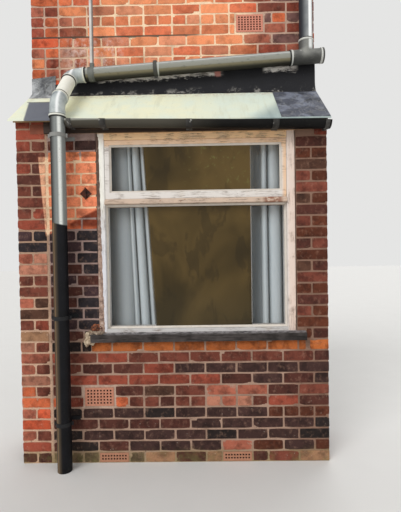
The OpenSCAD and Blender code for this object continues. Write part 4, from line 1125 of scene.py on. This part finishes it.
clay = {
    "red": (172, 108, 84), "pale": (198, 138, 112), "house": (208, 134, 112), "foot": (150, 112, 84),
    # the darkest tone is painted shade in the holes
    "grit": (116, 66, 48), "inside": (26, 16, 13), "houseFrom": (2.8, 3), "footTop": (0.1, 0.2),
    "inset": (0.002, 0.006), "bayBack": (0.1, 0.12),
}


def plastic(name, extra=None):
    _, dark, light, chalk, specks, shine = plastics[name]

    def look(point):
        cloud = point.noise(7, 5, 0.6)
        fine = point.noise(80, 4, 0.6)
        scuff = point.noise(26, 6, 0.7)
        colour = cloud.rise(0.3, 0.7).pick(dark, light)
        colour = (scuff.rise(0.58, 0.74) * specks).pick(colour, chalk)
        if extra:
            colour = extra(point, colour)
        return {"Base Color": colour, "Roughness": 0.45 + cloud * 0.25, "height": fine * 0.5 + scuff}

    return makeMaterial(name, look, bump=0.2, Specular_IOR_Level=shine)


def downLook(point, colour):
    x, _, z = point.parts()
    fine = point.noise(90, 4, 0.6)
    # painted light: a warm reflection on the left below the line where the pipe is sunlit, and above that
    # line a sunlit copy with a painted shaded left edge and a painted highlight
    across = (x - pipes["x"]) / pipeRadius
    tan = (1 - across.rise(*pipes["reflectionEdge"])) * (0.5 + point.stretched(3, 3, 0.4).noise(6, 4) * 0.6)
    colour = coats(
        colour,
        (tan * 0.8, pipeTones["tan"]),
        (across.band(*pipes["reflectionLine"]) * 0.45, pipeTones["reflectionLine"]))
    grey = coats(
        across.rise(*pipes["sunlitShadeEdge"]).pick(pipeTones["sunlitShadeSide"], pipeTones["sunGrey"]),
        (across.band(*pipes["sunHighlight"]) * 0.85, pipeTones["sunHighlight"]),
        (fine.rise(0.55, 0.7) * 0.35, pipeTones["sunSpecks"]))
    return (z + across * pipes["sunLean"]).above(pipes["sunFrom"], 0.006).pick(colour, grey)


def runLook(point, colour):
    x, _, z = point.parts()
    height = (z - (x - runLow.x) * runRise - runLow.z - pipeRadius) / pipeRadius
    fine = point.stretched(0.4, 1, 1).noise(60, 4, 0.6)
    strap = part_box("pipe_brackets")[1].x
    start, end, soft = pipes["strapEdge"]
    # painted shade on the underside, lighter towards the top and a painted highlight along it
    return coats(
        height.rise(*pipes["runLow"]).pick(pipeTones["runShadedBelly"], pipeTones["runLow"]),
        (height.rise(*pipes["runMiddle"]), pipeTones["runMiddle"]),
        (height.rise(*pipes["runTop"]), pipeTones["runTop"]),
        (height.band(*pipes["runHighlight"]) * 0.8, pipeTones["runHighlight"]),
        (fine.rise(0.55, 0.72) * 0.4, pipeTones["runSpecks"]),
        (x.band(strap + start, strap + end, soft), pipeTones["strapEdge"]))


def stackLook(point, colour):
    x, _, _ = point.parts()
    across = (x - stackLow.x) / (2 * pipeRadius)
    # painted shade down the left side and a painted highlight
    colour = across.rise(*pipes["stackEdge"]).pick(pipeTones["stackShadeSide"], colour)
    return across.band(*pipes["stackHighlight"]).pick(colour, pipeTones["stackHighlight"])


def teeLook(point, colour):
    x, _, z = point.parts()
    low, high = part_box("stack_tee")
    rim, belly, branch = pipes["teeRim"], pipes["teeShadedBelly"], pipes["branch"]
    rims = 1 - x.rise(low.x + rim, low.x + rim + 0.003)
    rims = rims.most(x.band(high.x - rim - 0.001, high.x, 0.002))
    rims = rims.most(z.rise(high.z - rim, high.z - rim + 0.003))
    across = (x - stackLow.x) / (2 * pipeRadius)
    branch = z.rise(high.z - branch[0], high.z - branch[1])
    # painted shade on the belly and the left of the branch, a painted highlight, and pale collars at the
    # rims
    return coats(
        colour,
        ((1 - z.rise(low.z + belly[0], low.z + belly[1])) * 0.8, pipeTones["teeShadedBelly"]),
        (branch * (1 - across.rise(0, 0.5)) * 0.75, pipeTones["teeShadeSide"]),
        (branch * across.band(*pipes["stackHighlight"]) * 0.8, pipeTones["teeHighlight"]),
        (rims * 0.9, pipeTones["teeRims"]))


def elbowLook(point, colour):  # with pale rings at the mouths of both elbows, painted shade on the left side and a painted highlight
    x, y, z = point.parts()
    low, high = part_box("lower_elbow")
    upperLow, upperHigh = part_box("upper_elbow")
    ring, slant = pipes["ringWide"], (y + z) * pipes["bend"]
    mouth = (high.y + high.z) * pipes["bend"] - pipes["collar"] - pipes["rubber"]
    upperMouth = (upperLow.y + upperLow.z) * pipes["bend"] + pipes["collar"]
    across = (x - pipes["x"]) / pipes["collar"]
    rings = (1 - z.rise(low.z + ring, low.z + ring + 0.002)).most(slant.band(mouth - ring, mouth, 0.001))
    rings = rings.most(slant.band(upperMouth, upperMouth + ring, 0.001))
    rings = rings.most(x.rise(upperHigh.x - ring - 0.002, upperHigh.x - ring))
    seals = slant.band(mouth, mouth + pipes["rubber"] + 0.002, 0.001)
    seals = seals.most(z.band(low.z + ring, low.z + ring + 0.004, 0.001))
    return coats(
        colour,
        ((1 - across.rise(*pipes["elbowEdge"])) * 0.7, pipeTones["elbowShadeSide"]),
        (across.band(*pipes["elbowHighlight"]) * 0.8, pipeTones["elbowHighlight"]),
        (rings * 0.85, pipeTones["rings"]),
        (seals * 0.9, pipeTones["seals"]))


def wasteLook(point, colour):
    x, _, _ = point.parts()
    low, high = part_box("waste_pipe")
    across = (x - low.x) / (high.x - low.x)
    # painted shade down its right side
    return (across.rise(*pipes["wasteEdge"]) * 0.75).pick(colour, pipeTones["wasteShadeSide"])


def gutterLook(point, colour):
    x, _, z = point.parts()
    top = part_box("gutter")[1].z
    # the lighter left part is painted sunlight, the pale rim a painted highlight
    left = 1 - x.rise(*pipes["gutterSunlitLeft"])
    rim = z.rise(top - 0.02, top - 0.008) * (0.35 + left * 0.5)
    return coats(colour, (left * 0.75, pipeTones["gutterSunlitLeft"]), (rim, pipeTones["gutterRimHighlight"]))


def strapLook(point, colour):
    _, _, z = point.parts()
    # pale in the band where the downpipe is painted sunlit: painted sunlight
    return coats(
        colour,
        (z.rise(*pipes["runStraps"]), pipeTones["runStrap"]),
        (z.band(*pipes["sunnyStraps"]), pipeTones["sunnyStrap"]))


def dressPipes():
    looks = {
        "downpipePlastic": downLook, "runPlastic": runLook, "stackPlastic": stackLook,
        "teePlastic": teeLook, "elbowPlastic": elbowLook, "wastePlastic": wasteLook,
        "gutterPlastic": gutterLook, "bracketPlastic": strapLook,
    }
    for name, (dressed, *_) in plastics.items():
        if dressed:
            dress(dressed, plastic(name, looks.get(name)))

    def rustLook(point):
        cloud = point.noise(40, 6, 0.65)
        colour = cloud.rise(0.35, 0.65).pick(hookTones["dark"], hookTones["rust"])
        return {"Base Color": colour, "Roughness": 0.85, "height": cloud}

    dress("wall_hook", makeMaterial("rust", rustLook, bump=0.8, Metallic=0.3))

    def clayLook(point):
        cloud = point.noise(18, 5, 0.6)
        fine = point.noise(160, 3, 0.6)
        _, y, z = point.parts()
        fronts = (bayLow.y, houseLow.y)
        bay, house = (y.rise(*[front + inset for inset in clay["inset"]]) for front in fronts)
        # the holes behind the front faces, darkened with painted shade
        inside = (bay * (1 - y.rise(*clay["bayBack"]))).most(house)
        colour = coats(
            cloud.pick(clay["red"], clay["pale"]),
            (z.rise(*clay["houseFrom"]), clay["house"]),
            ((1 - z.rise(*clay["footTop"])) * 0.5, clay["foot"]),
            (fine.rise(0.5, 0.7) * 0.4, clay["grit"]),
            (inside, clay["inside"]))
        return {"Base Color": colour, "Roughness": 0.85, "height": cloud + fine}

    dress("upper_air_brick apron_air_brick low_air_bricks", makeMaterial("firedClay", clayLook))


dressPipes()


# Rubber seals at the mouths of the sockets
def makeSeals():
    x, inward = pipes["x"], pipes["collar"] * pipes["bend"]
    elbowLow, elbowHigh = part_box("lower_elbow")
    upperLow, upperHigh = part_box("upper_elbow")
    teeLow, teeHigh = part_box("stack_tee")
    runY = (runLow.y + runHigh.y) / 2
    runZ = runLow.z + pipeRadius
    along = Vector((1, 0, runRise))
    mouths = [  # middle of each mouth and the way it faces
        ((x, pipes["y"], elbowLow.z), (0, 0, -1)),
        ((x, elbowHigh.y - inward, elbowHigh.z - inward), (0, 1, 1)),
        ((x, upperLow.y + inward, upperLow.z + inward), (0, -1, -1)),
        ((upperHigh.x, runY, runZ + (upperHigh.x - runLow.x) * runRise), along),
        ((teeLow.x, runY, runZ + (teeLow.x - runLow.x) * runRise), -along),
        ((stackLow.x + pipeRadius, runY, teeHigh.z), (0, 0, 1)),
    ]
    around, section = pipes["sealSteps"]
    rings = []
    for place, facing in mouths:
        facing = Vector(facing).normalized()
        bpy.ops.mesh.primitive_torus_add(
            location=Vector(place) + facing * pipes["sealThick"] * pipes["sealOut"],
            rotation=facing.to_track_quat("Z", "Y").to_euler(), major_segments=around,
            minor_segments=section, major_radius=pipes["sealRadius"], minor_radius=pipes["sealThick"])
        rings.append(bpy.context.object)
    for ring in rings:
        ring.select_set(True)
    bpy.context.view_layer.objects.active = rings[0]
    bpy.ops.object.join()
    rubber = plastic("sealRubber")
    addPiece(bpy.context.object, "pipeSeals", rubber, smooth=pipes["sealSmooth"])


makeSeals()
print("pipes and gutter finished")

# Mortar and broken brick beside the window: place, size, pale and dark tone, seed
scraps = {
    "sillMortar": ((-0.668, -0.124, 0.992), (0.040, 0.034, 0.052), (214, 196, 168), (150, 128, 106), 3),
    "brokenBrick": ((-0.618, -0.104, 1.076), (0.040, 0.016, 0.034), (150, 84, 50), (62, 36, 28), 8),
    "sillPacking": ((-0.600, -0.120, 1.036), (0.050, 0.030, 0.014), (176, 158, 138), (96, 80, 68), 5),
}
scrapLook = {"grit": (84, 68, 58), "lumps": (1.6, 0.7), "bumps": (5, 0.25), "detail": 4}
jambMortar = {
    "rows": 90, "columns": 6, "top": 0.008, "foot": 0.030, "thick": 0.006, "rough": 0.0025, "back": 0.003,
    "outside": 0.008, "bulge": 0.003, "foundation": 0.004, "short": 0.03, "seed": 4, "smooth": 50,
    "low": (172, 144, 128), "high": (100, 78, 66), "dirt": (84, 62, 54), "pale": (214, 196, 184),
}


def makeScraps():
    for name, (place, size, pale, dark, seed) in scraps.items():
        bpy.ops.mesh.primitive_ico_sphere_add(subdivisions=scrapLook["detail"], radius=1)
        piece = bpy.context.object
        (lumpRate, lumps), (bumpRate, bumps) = scrapLook["lumps"], scrapLook["bumps"]
        for vertex in piece.data.vertices:
            way = vertex.co.copy()
            rough = noise.noise(way * lumpRate + Vector((seed, 0, 0))) * lumps
            rough += noise.noise(way * bumpRate + Vector((0, seed, 0))) * bumps
            vertex.co = [p + w * s * (1 + rough) for p, w, s in zip(place, way, size)]

        def look(point):
            cloud = point.noise(34, 5, 0.65)
            sand = point.noise(220, 3, 0.7)
            colour = cloud.rise(0.36, 0.62).pick(pale, dark)
            return {"Base Color": (sand.rise(0.5, 0.7) * 0.4).pick(colour, scrapLook["grit"]),
                    "Roughness": 0.9, "height": sand + cloud}

        material = makeMaterial(name + "Look", look, bump=0.6)
        addPiece(piece, name, material, smooth=wall["smooth"])


def makeJambMortar():  # pointing that creeps over the left edge of the jamb towards its foot
    spec = jambMortar
    piece, places = gridPiece(spec["columns"], spec["rows"])
    for vertex, across, up in places:
        z = jambLow.z + spec["foundation"] + (jambHigh.z - jambLow.z - spec["short"]) * up
        ragged = noise.noise(Vector((spec["seed"], across * 2, z * 22)))
        ragged += noise.noise(Vector((across * 3, 1, z * 60))) * 0.6
        wide = spec["top"] + (spec["foot"] - spec["top"]) * (1 - up) ** 1.3
        wide += ragged * spec["rough"] * 2 * across
        bulge = math.sin(math.pi * (0.15 + 0.85 * across)) * spec["bulge"] + ragged * spec["rough"] * 0.5
        y = bayLow.y + spec["back"] + (jambLow.y - bayLow.y - spec["back"]) * across - bulge
        vertex.co = (jambLow.x - spec["outside"] + (wide + spec["outside"]) * across, y, z)
    thicken(piece, spec["thick"], -1)

    def look(point):
        _, _, z = point.parts()
        cloud = point.noise(30, 5, 0.65)
        sand = point.noise(220, 3, 0.7)
        colour = coats(
            z.rise(1.7, 2.2).pick(spec["low"], spec["high"]),
            (cloud.rise(0.46, 0.62) * 0.7, spec["dirt"]),
            ((1 - cloud.rise(0.34, 0.44)) * 0.6, spec["pale"]))
        return {"Base Color": colour, "Roughness": 0.92, "height": sand + cloud}

    pointing = makeMaterial("jambPointing", look, bump=0.6)
    addPiece(piece, "jambMortar", pointing, smooth=spec["smooth"])


makeScraps()
makeJambMortar()
print("small pieces made")

# Curtains in folds from the rail: where the flat part ends, how many folds, how far the edge leans
curtains = {
    "left": {"node": "left_curtain", "flat": 0.56, "folds": 3, "lean": 0.078},
    "right": {"node": "right_curtain", "flat": 0.24, "folds": 3, "lean": 0},
}
cloth = {
    "columns": 200, "rows": 50, "inset": 0.003, "gather": 0.04, "smooth": 60, "deep": (0.012, 0.044),
    "uneven": (0.07, 5.5), "sway": (0.06, 2.4, 3), "crest": 0.8, "ripple": (1.6, 0.1),
    "flatDepth": (0.55, 0.3), "foldDepth": (0.96, 0.92),
    "blue": (200, 211, 217), "pale": (216, 224, 227), "shade": (60, 68, 73), "weave": (140, 150, 154),
}


def foldDepth(spec, across, down):  # 0 nearest the glass, 1 farthest from it
    gathered = min(1, max(0, (across - spec["flat"]) / cloth["gather"]))
    along = (across - spec["flat"]) / (1 - spec["flat"])
    uneven, rate = cloth["uneven"]
    turns = spec["folds"] * (along + uneven * math.sin(rate * along))
    wide, downRate, acrossRate = cloth["sway"]
    sway = wide * math.sin(downRate * down + acrossRate * across)
    fold = abs(math.sin(math.pi * (turns + sway))) ** cloth["crest"]
    acrossRate, downRate = cloth["ripple"]
    ripple = 0.5 + 0.5 * math.sin(2 * math.pi * (acrossRate * across + downRate * down))
    (flat, rippled), (deep, folded) = cloth["flatDepth"], cloth["foldDepth"]
    return (1 - gathered) * (flat + rippled * ripple) + gathered * (deep - folded * fold)


def makeCurtain(side, satin):
    spec = curtains[side]
    low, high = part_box(spec["node"])
    columns, rows, tall = cloth["columns"], cloth["rows"], high.z - low.z
    near, far = low.y + cloth["inset"], high.y - cloth["inset"]
    points, widths = [], []
    for j in range(rows + 1):
        down = j / rows
        wide = high.x - low.x - spec["lean"] * (1 - down)
        row = []
        for i in range(columns + 1):
            across = i / columns
            y = near + (far - near) * foldDepth(spec, across, down)
            row.append(Vector((low.x + wide * across, y, high.z - tall * down)))
        widths.append(sum((row[i + 1] - row[i]).length for i in range(columns)))
        points += row
    step = columns + 1
    faces = [[j * step + i, (j + 1) * step + i, (j + 1) * step + i + 1, j * step + i + 1]
             for j in range(rows) for i in range(columns)]
    piece = meshPiece(side + "Curtain", points, faces)
    addPiece(piece, side + "Curtain", satin, [spec["node"]], smooth=cloth["smooth"])


def clothLook(point):
    weave = point.noise(900, 2, 0.5)
    cloud = point.stretched(1, 1, 0.3).noise(9, 4, 0.5)
    _, y, _ = point.parts()
    colour = coats(
        cloud.pick(cloth["blue"], cloth["pale"]),
        # the deep valleys of the folds darkened: painted shade
        (y.rise(*cloth["deep"]) * 0.92, cloth["shade"]),
        (weave * 0.2, cloth["weave"]))
    return {"Base Color": colour, "Roughness": 0.6, "height": weave}


satin = makeMaterial("satin", clothLook, bump=0.15, Sheen_Weight=0.3)
for side in curtains:
    makeCurtain(side, satin)
print("curtains hung")
